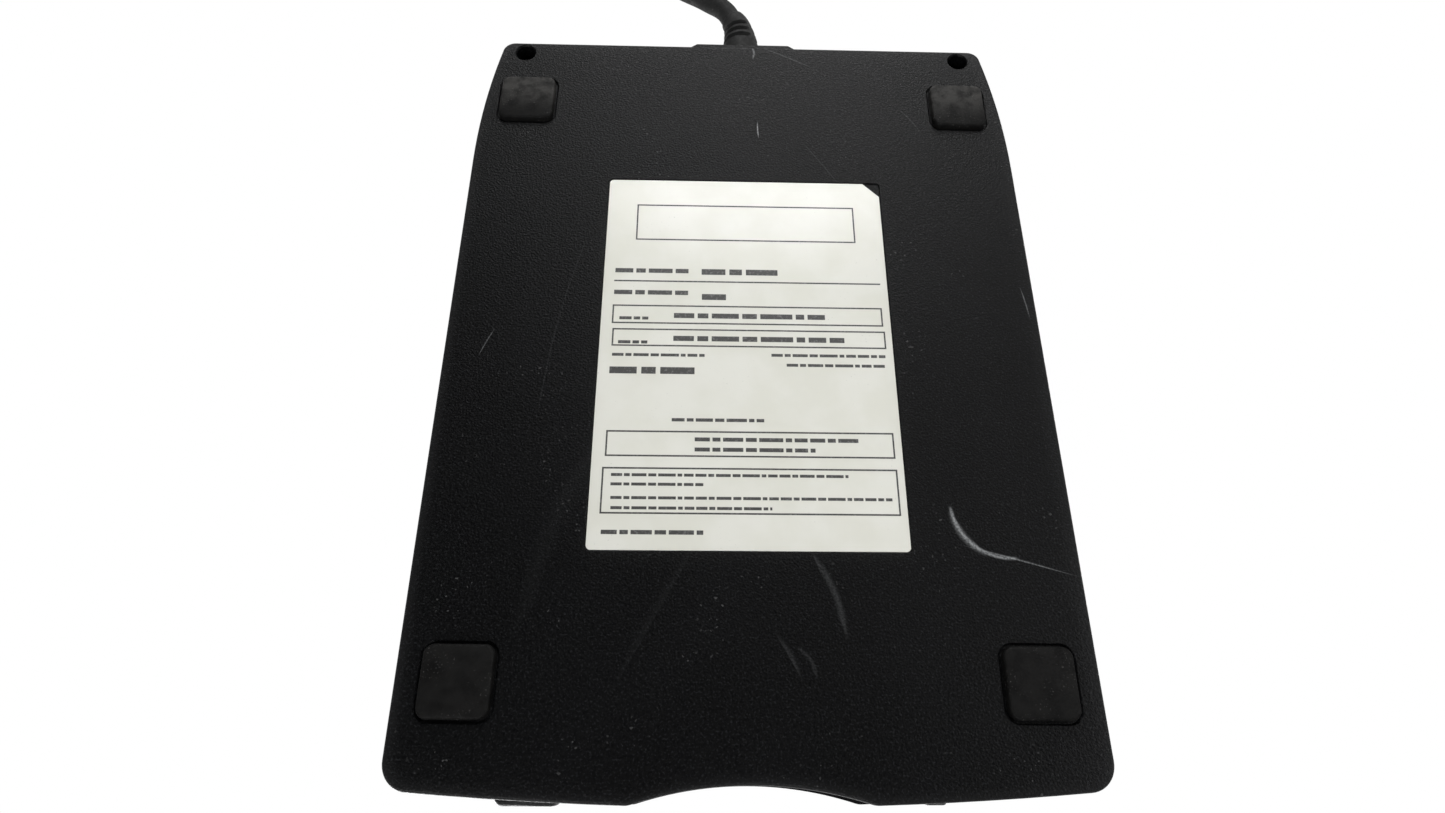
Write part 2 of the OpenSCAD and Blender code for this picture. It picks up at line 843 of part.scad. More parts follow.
module bottom_shell() {
    color(case_black)
        difference() {
            union() {
                difference() {
                    skin(concat(backwards(edge_down(bottom_z, bottom_edge_r)), [[parting_z, 0]]));
                    slab(wall, floor_z, parting_z + over);
                    slab(tongue_t, tongue_z - fit, parting_z + over);
                    front_cut(floor_z, parting_z + over);
                }
                cable_pad(bottom_z + bottom_edge_r, parting_z);
                intersection() {
                    slab(wall / 2, floor_z - floor_t / 2, well_top);
                    both_sides()
                        translate([well_x, well_y, 0])
                            cylinder(r = well_d / 2 + well_wall, h = well_top);
                }
                for (y = chassis_screws_y) {
                    both_sides()
                        translate([chassis_screw_x, y, floor_z - floor_t / 2])
                            cylinder(r = chassis_boss_r, h = floor_t / 2 + chassis_gap);
                }
                for (x = [board_x + board_inset, board_x + board_w - board_inset]) {
                    for (y = [board_y + board_inset, board_y + board_l - board_inset]) {
                        translate([x, y, floor_z - floor_t / 2])
                            cylinder(r = board_boss_r, h = floor_t / 2 + board_boss_h);
                    }
                }
            }
            both_sides() {
                translate([well_x, well_y, bottom_z - over])
                    cylinder(d = well_d, h = well_top - well_seat_t - bottom_z + over);
                translate([well_x, well_y, bottom_z])
                    cylinder(r = case_screw_r + fit, h = top_z);
            }
            for (y = chassis_screws_y) {
                both_sides()
                    translate([chassis_screw_x, y, plate_z - chassis_t - screw_reach])
                        cylinder(r = small_screw_r + touch, h = top_z);
            }
            for (x = [board_x + board_inset, board_x + board_w - board_inset]) {
                for (y = [board_y + board_inset, board_y + board_l - board_inset]) {
                    translate([x, y, floor_z - floor_t / 2])
                        cylinder(r = small_screw_r + touch, h = top_z);
                }
            }
            for (place = foot_places) {
                translate([place[0] - foot_w / 2 - recess_gap, place[1] - foot_w / 2 - recess_gap,
                    bottom_z - over])
                    rounded([foot_w + 2 * recess_gap, foot_w + 2 * recess_gap, foot_sink + over],
                        foot_r + recess_gap);
            }
            translate([-label_w / 2 - label_gap, label_y - label_l / 2 - label_gap, bottom_z - over])
                rounded([label_w + 2 * label_gap, label_l + 2 * label_gap, label_sink + over], label_r);
            cable_hole();
        }
}

module top_shell() {
    color(case_black)
        difference() {
            union() {
                difference() {
                    union() {
                        skin(concat([[upper_z, 0]], edge_up(top_z, top_edge_r)));
                        slab(tongue_t + fit, tongue_z, upper_z + tongue_h);
                    }
                    slab(wall, tongue_z - over, roof_z);
                    front_cut(tongue_z - over, roof_z);
                }
                cable_pad(upper_z, top_z - top_edge_r);
                intersection() {
                    slab(wall / 2, well_top, roof_z + roof_t / 2);
                    both_sides()
                        translate([well_x, well_y, well_top + fit])
                            cylinder(r = post_r, h = top_z);
                }
            }
            both_sides()
                translate([well_x, well_y, 0])
                    cylinder(r = case_screw_r + touch, h = well_top + case_screw_l - well_seat_t + over);
            translate([-name_w / 2, front_y + name_front, top_z - recess_depth_top])
                rounded([name_w, name_l, over], label_r);
            cable_hole();
        }
}

module front_bezel() {
    color(case_black)
        difference() {
            union() {
                intersection() {
                    translate([0, 0, bezel_z])
                        linear_extrude(bezel_top - bezel_z)
                            polygon(concat(
                                front_line(bezel_step),
                                backwards(front_line(bezel_step + bezel_t))));
                    block([-bezel_x, front_y - over, bezel_z], [bezel_x, bezel_back + over, bezel_top]);
                }
                both_sides()
                    block([bezel_x - ear_t, bow_y(bezel_x) + bezel_step + bezel_t / 2, bezel_top - ear_h],
                        [bezel_x, door_y + ear_back, bezel_top]);
                for (x = [-pipe_x - lamp_board_w / 2 - rib_t - fit, -pipe_x + lamp_board_w / 2 + fit]) {
                    block([x, bow_y(pipe_x) + bezel_step + bezel_t / 2, lamp_z],
                        [x + rib_t, lamp_y + lamp_board_t, lamp_z + lamp_board_h]);
                }
            }
            block([-slot_x, front_y - over, slot_z], [slot_x, bezel_back + fit, slot_top]);
            rod_x(door_y, door_z, door_pin_r + running, -bezel_x - over, bezel_x + over);
            button_shape(button_gap, front_y - over, bezel_back + over);
            block([-pipe_x - pipe_w / 2 - fit, front_y - over, pipe_z - pipe_h / 2 - fit],
                [-pipe_x + pipe_w / 2 + fit, bezel_back, pipe_z + pipe_h / 2 + fit]);
        }
}

// The button's section, grown by a gap, between two places along Y
module button_shape(gap, from, to) {
    translate([button_x - button_w / 2 - gap, to, button_z - gap])
        rotate([90, 0, 0])
            rounded([button_w + 2 * gap, button_h + 2 * gap, to - from], button_r + gap);
}

module dust_door() {
    color(case_black)
        difference() {
            union() {
                block([-door_x, door_y - door_t / 2, door_low], [door_x, door_y + door_t / 2, door_z]);
                rod_x(door_y, door_z, door_barrel_r, -door_x, door_x);
                rod_x(door_y, door_z, door_pin_r, -bezel_x + fit, bezel_x - fit);
            }
            difference() {
                block([-door_notch_x, door_y - over, door_plate_top],
                    [door_notch_w - door_notch_x, door_y + over, door_z + over]);
                rod_x(door_y, door_z, door_core_r, -door_x, door_x);
            }
        }
}

module door_spring() {
    color(steel)
        translate([-door_notch_x + door_notch_w / 4, door_y, door_z])
            rotate([0, 90, 0])
                helix(door_spring_r, door_wire, door_notch_w / 2, door_curls);
}

module eject_button() {
    color(case_black)
        union() {
            button_shape(0, button_tip, button_back);
            block([button_x - button_stem_w / 2, button_back - touch, button_mid - button_h / 4],
                [button_x + button_stem_w / 2, chassis_y, button_mid + button_h / 4]);
            rod_y(button_x, button_mid, button_peg_r, chassis_y - touch, chassis_y + 2 * sheet_t);
        }
}

module eject_plate() {
    color(steel)
        difference() {
            union() {
                block([-eject_out, chassis_y, eject_z], [eject_out, eject_wall_y, eject_z + sheet_t]);
                both_sides() {
                    block([eject_strip_x, chassis_y, eject_z], [eject_out, eject_end, eject_z + sheet_t]);
                    block([eject_in, eject_wall_y, eject_z], [eject_out, eject_end, eject_top]);
                    block([hook_x - hook_w / 2, eject_tab_y, eject_z],
                        [eject_strip_x + over, eject_tab_y + sheet_t, eject_z + hook_h]);
                }
                block([button_x - button_tab_w / 2, chassis_y, eject_z],
                    [button_x + button_tab_w / 2, chassis_y + sheet_t, button_z + button_h]);
            }
            for (y = pin_ys) {
                both_sides()
                    slot_x_wall([y, pin_z], [y + eject_travel, pin_z - load_drop], pin_slot_r,
                        eject_in - over / 2, eject_out + over / 2);
            }
            rod_y(button_x, button_mid, button_peg_r + touch, chassis_y - over, chassis_y + over);
        }
}

module eject_springs() {
    spring_l = eject_tab_y - hook_y - sheet_t - 2 * touch;
    color(dark_steel)
        both_sides()
            translate([hook_x, hook_y + sheet_t + touch, eject_spring_z])
                rotate([-90, 0, 0])
                    helix(eject_spring_r, eject_wire, spring_l, eject_curls);
}

module led_light_pipe() {
    color([0.8, 0.85, 0.82, 0.7])
        block([-pipe_x - pipe_w / 2, bow_y(pipe_x) - pipe_proud, pipe_z - pipe_h / 2],
            [-pipe_x + pipe_w / 2, lamp_y - led_l - fit, pipe_z + pipe_h / 2]);
}

module led() {
    color([0.55, 0.75, 0.5])
        union() {
            rod_y(-pipe_x, pipe_z, led_r, lamp_y - led_l, lamp_y - touch);
            rod_y(-pipe_x, pipe_z, led_r + fit, lamp_y - led_l / 2, lamp_y);
        }
}

module led_board() {
    color(board_green)
        block([-pipe_x - lamp_board_w / 2, lamp_y, lamp_z],
            [-pipe_x + lamp_board_w / 2, lamp_y + lamp_board_t, lamp_z + lamp_board_h]);
}

module foot(place) {
    color(rubber_black)
        translate([place[0] - foot_w / 2, place[1] - foot_w / 2, 0])
            rounded([foot_w, foot_w, foot_t], foot_r);
}

module rating_label() {
    color(label_white)
        difference() {
            translate([-label_w / 2, label_y - label_l / 2, bottom_z + label_sink - label_t])
                rounded([label_w, label_l, label_t], label_r);
            translate([-label_w / 2, label_y + label_l / 2, bottom_z - over])
                linear_extrude(2 * over)
                    polygon([[0, 0], [0, -label_cut], [label_cut, 0]]);
        }
}

module case_screws() {
    color(dark_steel)
        both_sides()
            translate([well_x, well_y, well_top - well_seat_t])
                mirror([0, 0, 1])
                    screw(case_screw_r, case_screw_l, case_head_r, case_head_h);
}

module chassis_screws() {
    color(steel)
        for (y = chassis_screws_y) {
            both_sides()
                translate([chassis_screw_x, y, plate_z])
                    screw(small_screw_r, chassis_t + screw_reach, small_head_r, small_head_h);
        }
}

module chassis() {
    ear_x = lever_x + lever_ear_w / 2;
    color(steel)
        difference() {
            union() {
                block([-chassis_out, chassis_y, chassis_z], [chassis_out, chassis_end, plate_z]);
                block([-tail_x, chassis_end, chassis_z], [tail_out, tail_end, plate_z]);
                block([lever_x - lever_ear_w / 2, chassis_end, chassis_z],
                    [ear_x, lever_y + lever_ear_end, plate_z]);
                both_sides() {
                    block([chassis_in, chassis_y, chassis_z], [chassis_out, chassis_wall_end, cover_z]);
                    block([tower_out - tower_w, tower_y, cover_z - chassis_t],
                        [tower_out, cover_end, cover_z]);
                    block([tower_out - tower_w, cover_end - chassis_t, chassis_z],
                        [tower_out, cover_end, cover_z]);
                    block([tower_out - tower_w, chassis_end - over, chassis_z],
                        [tower_out, cover_end, plate_z]);
                    block([hook_x - hook_w / 2, hook_y, chassis_z],
                        [hook_x + hook_w / 2, hook_y + sheet_t, plate_z + hook_h]);
                }
                for (y = [rod_front_y, rod_rear_y]) {
                    block([rod_x - rod_support_w / 2, y, chassis_z],
                        [rod_x + rod_support_w / 2, y + rod_support_t, plate_z + rod_support_h]);
                }
                block([screw_x - screw_block_w / 2, screw_front_y, chassis_z],
                    [screw_x + screw_block_w / 2, screw_front_y + rod_support_t, plate_z + screw_block_h]);
                block([screw_x - bracket_w / 2, bracket_y, chassis_z],
                    [screw_x + bracket_w / 2, bracket_y + bracket_t, plate_z + bracket_h]);
                translate([lever_x, lever_y, chassis_z])
                    cylinder(r = lever_post_r, h = lever_post_top - chassis_z);
                translate([lever_x, lever_y, chassis_z])
                    cylinder(r = lever_boss_r, h = lever_z - fit - chassis_z);
            }
            for (y = pin_ys) {
                both_sides()
                    slot_x_wall([y, pin_z], [y, pin_z - load_drop], pin_slot_r,
                        chassis_in - over / 2, chassis_out + over / 2);
            }
            for (y = chassis_screws_y) {
                both_sides()
                    translate([chassis_screw_x, y, chassis_z - over])
                        cylinder(r = small_screw_r + touch, h = chassis_t + 2 * over);
            }
            both_sides()
                translate([cover_screw_x, cover_screw_y, cover_z - chassis_t - over])
                    cylinder(r = small_screw_r + touch, h = chassis_t + 2 * over);
            translate([0, spindle_y, chassis_z - over])
                cylinder(r = bush_r + touch, h = chassis_t + 2 * over);
            rod_y(rod_x, rod_z, rod_d / 2 + touch, rod_front_y - over, rod_rear_y + rod_support_t + over);
            rod_y(screw_x, screw_z, tip_r + running, screw_front_y - over,
                screw_front_y + rod_support_t + over);
            rod_y(screw_x, screw_z, motor_boss_r + touch, bracket_y - over, bracket_y + bracket_t + over);
        }
}

module drive_cover() {
    color(steel)
        difference() {
            union() {
                block([-chassis_out - cover_side - sheet_t, cage_y, cover_z],
                    [chassis_out + cover_side + sheet_t, cover_end, cover_top]);
                both_sides()
                    block([chassis_out + cover_side, cage_y, cover_z - skirt_drop + sheet_t],
                        [chassis_out + cover_side + sheet_t, chassis_wall_end, cover_top]);
            }
            block([-notch_w / 2, notch_y, cover_z - over],
                [notch_w / 2, cover_end + over, cover_top + over]);
            both_sides()
                translate([cover_screw_x, cover_screw_y, cover_z - over])
                    cylinder(r = small_screw_r + touch, h = sheet_t + 2 * over);
        }
}

module cover_screws() {
    color(dark_steel)
        both_sides()
            translate([cover_screw_x, cover_screw_y, cover_top])
                screw(small_screw_r, sheet_t + 2 * chassis_t, small_head_r, flat_head_h);
}

module disk_holder() {
    color(steel)
        union() {
            difference() {
                block([-cage_out, cage_y, cage_z], [cage_out, cage_end, cage_top]);
                block([-cage_in, cage_y - over, cage_z + sheet_t],
                    [cage_in, cage_end + over, cage_top - sheet_t]);
                block([-cage_in + flange_w, cage_y + strip_w, cage_z - over],
                    [cage_in - flange_w, cage_end + over, cage_z + sheet_t + over]);
                block([-window_w / 2, cage_end - window_l, cage_top - sheet_t - over],
                    [window_w / 2, cage_end + over, cage_top + over]);
            }
            for (y = pin_ys) {
                both_sides()
                    rod_x(y, pin_z, cage_pin_d / 2, cage_out - sheet_t / 2, pin_end);
            }
        }
}

module spindle_rotor() {
    color(steel)
        translate([0, spindle_y, 0])
            difference() {
                union() {
                    translate([0, 0, web_z - magnet_h - fit])
                        cylinder(r = rotor_r, h = web_t + magnet_h + fit, $fn = 96);
                    translate([0, 0, web_z])
                        cylinder(r = chuck_r, h = web_t + chuck_h);
                    translate([drive_pin_at, 0, web_z])
                        cylinder(r = drive_pin_r, h = web_t + chuck_h + drive_pin_h);
                }
                translate([0, 0, web_z - magnet_h - over])
                    cylinder(r = rotor_r - skirt_t, h = magnet_h + over);
                translate([0, 0, web_z - over])
                    cylinder(d = shaft_d + 2 * running, h = web_t + chuck_h + 2 * over);
            }
}

module rotor_magnet() {
    magnet_r = rotor_r - skirt_t - touch;
    color(dark_steel)
        translate([0, spindle_y, web_z - magnet_h - touch])
            difference() {
                cylinder(r = magnet_r, h = magnet_h);
                translate([0, 0, -over])
                    cylinder(r = magnet_r - magnet_t, h = magnet_h + 2 * over);
            }
}

module spindle_shaft() {
    shaft_z = chassis_z - slip / 2;
    color(steel)
        translate([0, spindle_y, shaft_z])
            cylinder(d = shaft_d, h = web_top + chuck_h + centre_pin_h - shaft_z);
}

module spindle_bearing() {
    color(gold)
        translate([0, spindle_y, 0])
            difference() {
                union() {
                    translate([0, 0, chassis_z - slip])
                        cylinder(r = bush_r, h = bush_top - chassis_z + slip);
                    translate([0, 0, plate_z])
                        cylinder(r = bush_flange_r, h = bush_flange_t);
                }
                translate([0, 0, chassis_z - over])
                    cylinder(d = shaft_d + 2 * running, h = top_z);
            }
}

module motor_board() {
    color(board_green)
        difference() {
            block([-motor_board_w / 2, spindle_y - motor_board_l / 2, plate_z],
                [motor_board_w / 2, spindle_y + motor_board_l / 2, stator_z]);
            translate([0, spindle_y, plate_z - over])
                cylinder(r = bush_flange_r + slip, h = motor_board_t + 2 * over);
        }
}

module stator_coils() {
    color(copper)
        translate([0, spindle_y, stator_z])
            difference() {
                union() {
                    cylinder(r = core_r, h = stator_h);
                    for (k = [0:stator_teeth - 1]) {
                        rotate([0, 0, 360 * k / stator_teeth]) {
                            block([core_in + tooth_w / 2, -tooth_w / 2, stator_h / 4],
                                [tooth_r, tooth_w / 2, stator_h * 3 / 4]);
                            block([coil_block_in, -coil_block_w / 2, 0],
                                [coil_block_out, coil_block_w / 2, stator_h]);
                        }
                    }
                }
                translate([0, 0, -over])
                    cylinder(r = core_in, h = stator_h + 2 * over);
            }
}

module guide_rod() {
    color(steel)
        rod_y(rod_x, rod_z, rod_d / 2, rod_front_y - fit, rod_rear_y + rod_support_t + fit);
}

module head_carriage() {
    color([0.2, 0.2, 0.21])
        difference() {
            union() {
                block([-carriage_left, carriage_y, carriage_low],
                    [carriage_right, carriage_y + carriage_l, carriage_top]);
                block([-arm_w / 2, head_y - head_l / 2, lower_arm_z],
                    [arm_w / 2, carriage_y + over, lower_arm_z + lower_arm_t]);
                for (x = [-arm_w / 2 - ear_w, arm_w / 2]) {
                    block([x, pivot_y - ear_l / 2, carriage_top - over],
                        [x + ear_w, pivot_y + ear_l / 2, pivot_z]);
                    rod_x(pivot_y, pivot_z, ear_l / 2, x, x + ear_w);
                }
                block([carriage_right - over, carriage_y + follower_y, screw_z - follower_low],
                    [screw_x + follower_half, carriage_y + follower_y + follower_l, screw_z + follower_low]);
                block([-flag_w / 2, carriage_y + carriage_l - over, plate_z + flag_z],
                    [flag_w / 2, carriage_y + carriage_l + flag_l, plate_z + flag_z + flag_w]);
            }
            rod_y(rod_x, rod_z, rod_d / 2 + running, carriage_y - over, carriage_y + carriage_l + over);
            rod_y(screw_x, screw_z, screw_d / 2 + running, carriage_y, carriage_y + carriage_l);
            rod_x(pivot_y, pivot_z, pivot_r + running, -arm_w, arm_w);
        }
}

module lower_head() {
    color([0.3, 0.3, 0.32])
        block([-head_w / 2, head_y - head_l / 2, lower_arm_z + lower_arm_t],
            [head_w / 2, head_y + head_l / 2, lower_arm_z + lower_arm_t + lower_head_h]);
}

// Turns what is drawn for the loaded height about the pivot, up to where it rests
module raised() {
    translate([0, pivot_y, pivot_z])
        rotate([-arm_raise, 0, 0])
            children();
}

upper_arm_low = lower_arm_z + lower_arm_t + lower_head_h + slip + upper_head_h - pivot_z;

module upper_head_arm() {
    color([0.2, 0.2, 0.21])
        raised()
            union() {
                rod_x(0, 0, pivot_r, -arm_w / 2 - ear_w, arm_w / 2 + ear_w);
                rod_x(0, 0, ear_round, -arm_in_w / 2, arm_in_w / 2);
                block([-arm_in_w / 2, -ear_l, upper_arm_low], [arm_in_w / 2, 0, 0]);
                block([-arm_in_w / 2, head_y - head_l / 2 - pivot_y, upper_arm_low],
                    [arm_in_w / 2, 0, upper_arm_low + upper_arm_t]);
            }
}

module upper_head() {
    color([0.3, 0.3, 0.32])
        raised()
            block([-head_w / 2, head_y - head_l / 2 - pivot_y, upper_arm_low - upper_head_h],
                [head_w / 2, head_y + head_l / 2 - pivot_y, upper_arm_low]);
}

module lead_screw() {
    color(steel)
        union() {
            rod_y(screw_x, screw_z, tip_r, screw_front_y + fit, thread_y + over);
            rod_y(screw_x, screw_z, screw_d / 2, thread_y, bracket_y - thread_gap);
            rod_y(screw_x, screw_z, tip_r, bracket_y - over, stepper_y + over);
        }
}

module stepper_motor() {
    color([0.72, 0.72, 0.7])
        difference() {
            union() {
                rod_y(screw_x, screw_z, stepper_r, stepper_y, stepper_y + stepper_l);
                rod_y(screw_x, screw_z, motor_boss_r, bracket_y, stepper_y + over);
            }
            rod_y(screw_x, screw_z, tip_r + running, bracket_y - over, stepper_y + 2 * over);
        }
}

module shutter_lever() {
    color(ivory)
        translate([lever_x, lever_y, 0])
            rotate([0, 0, lever_rest])
                difference() {
                    union() {
                        translate([0, 0, lever_z])
                            cylinder(r = lever_boss_r, h = lever_t);
                        block([0, -lever_w / 2, lever_z], [lever_l, lever_w / 2, lever_z + lever_t]);
                        translate([lever_l, 0, lever_z])
                            cylinder(r = lever_w / 2, h = lever_t);
                        translate([lever_l, 0, lever_z])
                            cylinder(r = lever_pin_r, h = lever_pin_top - lever_z);
                    }
                    translate([0, 0, lever_z - over])
                        cylinder(r = lever_post_r + running, h = lever_t + 2 * over);
                }
}

module lever_spring() {
    spring_h = lever_post_top - lever_z - lever_t - 2 * lever_wire;
    color(steel)
        translate([lever_x, lever_y, lever_z + lever_t + fit + lever_wire / 2])
            helix(lever_spring_r, lever_wire, spring_h, lever_curls);
}

module switch_block() {
    color([0.12, 0.12, 0.13])
        for (x = switch_xs) {
            difference() {
                block([x - switch_w / 2, switch_y - switch_w / 2, plate_z],
                    [x + switch_w / 2, switch_y + switch_w / 2, plate_z + switch_h]);
                translate([x, switch_y, plate_z + switch_h - plunger_deep])
                    cylinder(r = plunger_r + running, h = switch_h);
            }
        }
}

module plunger(x) {
    plunger_z = plate_z + switch_h - plunger_deep + plunger_travel + fit;
    color(ivory)
        translate([x, switch_y, plunger_z])
            cylinder(r = plunger_r, h = plunger_top - plunger_z);
}

module track_zero_sensor() {
    color([0.1, 0.1, 0.11])
        difference() {
            block([-sensor_w / 2, sensor_y, plate_z],
                [sensor_w / 2, sensor_y + sensor_l, plate_z + sensor_h]);
            block([-sensor_slot / 2, sensor_y - over, plate_z + flag_z - 2 * slip],
                [sensor_slot / 2, sensor_y + sensor_l + over, plate_z + sensor_h + over]);
        }
}

module controller_board() {
    color(board_green)
        difference() {
            block([board_x, board_y, board_z], [board_x + board_w, board_y + board_l, board_top]);
            for (x = [board_x + board_inset, board_x + board_w - board_inset]) {
                for (y = [board_y + board_inset, board_y + board_l - board_inset]) {
                    translate([x, y, board_z - over])
                        cylinder(r = small_screw_r + touch, h = board_t + 2 * over);
                }
            }
        }
}

module on_board(place) {
    translate([place[0], place[1], board_top])
        children();
}

module board_chips() {
    color([0.09, 0.09, 0.1]) {
        on_board(on_plan(chip_share) - [chip_w / 2, chip_w / 2])
            cube([chip_w, chip_w, chip_h]);
        on_board(on_plan(small_chip_share))
            cube(small_chip);
        on_board(on_plan(regulator_share))
            cube(regulator);
    }
}

module board_crystal() {
    color(steel)
        on_board(on_plan(crystal_share) - [crystal_w / 2, crystal_w / 2])
            rounded([crystal_l - crystal_w / 2, crystal_w, crystal_h], crystal_w / 2 - touch);
}

module board_connectors() {
    color(ivory) {
        on_board(flat_socket_at)
            difference() {
                cube(flat_socket);
                translate([flat_socket[0] / 2 - ribbon_w / 2 - fit, -over, 0])
                    cube([ribbon_w + 2 * fit, flat_socket[1], ribbon_t + 2 * fit]);
            }
        on_board(header_at)
            cube(header);
    }
}

module board_capacitors() {
    color([0.62, 0.63, 0.65])
        for (share = cap_shares) {
            on_board(on_plan(share))
                cylinder(r = cap_r, h = cap_h);
        }
}

module board_screws() {
    color(steel)
        for (x = [board_x + board_inset, board_x + board_w - board_inset]) {
            for (y = [board_y + board_inset, board_y + board_l - board_inset]) {
                translate([x, y, board_top])
                    screw(small_screw_r, board_t + board_boss_h, small_head_r, small_head_h);
            }
        }
}

module flat_cable() {
    ribbon_end = flat_socket_at[1] + flat_socket[1] / 2;
    line = [[ribbon_y, ribbon_low], [board_y - ribbon_rise, ribbon_low], [board_y, ribbon_high],
        [ribbon_end, ribbon_high]];
    color([0.85, 0.85, 0.82])
        translate([ribbon_x - ribbon_w / 2, 0, 0])
            rotate([90, 0, 90])
                linear_extrude(ribbon_w)
                    polygon(concat(line, [for (q = backwards(line)) q + [0, ribbon_t]]));
}

module inner_lead() {
    color([0.2, 0.2, 0.22])
        tube([[0, relief_in, cord_z], [0, relief_in - inner_back / 2, cord_z],
            [-inner_back / 2, relief_in - inner_back, cord_z],
            [-inner_run, inner_line_y + slip, cord_z - slip],
            [inner_end_x + inner_run + inner_turn, inner_line_y, inner_z + slip],
            [inner_end_x + inner_turn, (inner_y + inner_line_y) / 2, inner_z],
            [inner_end_x + inner_back / 2, inner_y, inner_z],
            [inner_end_x, inner_y, inner_z]], inner_r, cord_sides);
}

module strain_relief() {
    steps = len(relief_route) - 1;
    radii = [for (k = [0:steps])
        (relief_d + (relief_tip_d - relief_d) * max(0, (k / steps - relief_plain_share)
        / (1 - relief_plain_share))) / 2];
    color(rubber_black)
        union() {
            swept(relief_route, radii, relief_sides);
            rod_y(0, cord_z, neck_r, relief_in + flange_t / 2, pad_y + fit);
            rod_y(0, cord_z, flange_r, relief_in, relief_in + flange_t);
        }
}

module cord_lead() {
    color(rubber_black)
        tube(lead_route, cord_r, cord_sides);
}

module cord_coil() {
    color(rubber_black)
        tube(coil_path, cord_r, coil_sides);
}

module cord_tail() {
    color(rubber_black)
        tube(tail_route, cord_r, cord_sides);
}

module cord_tie() {
    tie_t0 = (tie_angle - coil_start) / 360;
    held = [for (k = [0:coil_full_turns]) coil_r(tie_t0 + k)];
    low = [min(held) - cord_r - tie_gap, coil_z - cord_r - fit];
    high = [max(held) + cord_r + tie_gap, coil_z + layer_step + cord_r + fit];
    color([0.12, 0.12, 0.13])
        translate([coil_place[0], coil_place[1], 0])
            rotate([0, 0, tie_angle])
                difference() {
                    block([low[0] - tie_t, -tie_w / 2, low[1] - tie_t],
                        [high[0] + tie_t, tie_w / 2, high[1] + tie_t]);
                    block([low[0], -tie_w / 2 - over, low[1]], [high[0], tie_w / 2 + over, high[1]]);
                }
}

module at_plug() {
    translate(plug_at)
        rotate([0, 0, plug_turn])
            children();
}

module plug_body() {
    color(rubber_black)
        at_plug()
            union() {
                translate([-plug_w / 2, -plug_boot_l, -plug_h / 2])
                    rotate([90, 0, 0])
                        rounded([plug_w, plug_h, plug_l], plug_r);
                rod_y(0, 0, plug_boot_d / 2, -plug_boot_l - over, 0);
            }
}

module plug_shell() {
    color(steel)
        at_plug()
            translate([0, -plug_boot_l - plug_l, 0])
                difference() {
                    block([-plug_shell_w / 2, -plug_shell_l, -plug_shell_h / 2],
                        [plug_shell_w / 2, 0, plug_shell_h / 2]);
                    block([-plug_in_w / 2, -plug_shell_l - over, -plug_in_h / 2],
                        [plug_in_w / 2, -plug_root, plug_in_h / 2]);
                    for (x = [-plug_window_gap / 2 - plug_window, plug_window_gap / 2]) {
                        translate([x, -plug_window_at - plug_window, -plug_shell_h])
                            cube([plug_window, plug_window, 2 * plug_shell_h]);
                    }
                }
}

module plug_tongue() {
    color(ivory)
        at_plug()
            translate([0, -plug_boot_l - plug_l, 0])
                block([-plug_in_w / 2 + touch, -plug_shell_l + slip, plug_in_h / 2 - touch - plug_tongue_t],
                    [plug_in_w / 2 - touch, -plug_root - touch, plug_in_h / 2 - touch]);
}

echo("least gap in the coil", coil_gap);
echo("cable length", route_length(relief_route) + route_length(lead_route) + route_length(coil_path)
    + route_length(tail_route));
echo("coil ends", coil_head, coil_foot);

bottom_shell();
top_shell();
front_bezel();
dust_door();
door_spring();
eject_button();
eject_plate();
eject_springs();
led_light_pipe();
led();
led_board();
foot(foot_places[0]);  // foot_front_left
foot(foot_places[1]);  // foot_front_right
foot(foot_places[2]);  // foot_rear_left
foot(foot_places[3]);  // foot_rear_right
rating_label();
case_screws();
chassis();
chassis_screws();
drive_cover();
cover_screws();
disk_holder();
spindle_rotor();
rotor_magnet();
spindle_shaft();
spindle_bearing();
motor_board();
stator_coils();
guide_rod();
head_carriage();
lower_head();
upper_head_arm();
upper_head();
lead_screw();
stepper_motor();
shutter_lever();
lever_spring();
switch_block();
plunger(switch_xs[0]);  // plunger_disk_in
plunger(switch_xs[1]);  // plunger_write_protect
plunger(switch_xs[2]);  // plunger_density
track_zero_sensor();
controller_board();
board_chips();
board_crystal();
board_connectors();
board_capacitors();
board_screws();
flat_cable();
inner_lead();
strain_relief();
cord_lead();
cord_coil();
cord_tail();
cord_tie();
plug_body();
plug_shell();
plug_tongue();
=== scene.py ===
import itertools
import json
import math

import bmesh
import bpy
from mathutils import Matrix, Vector

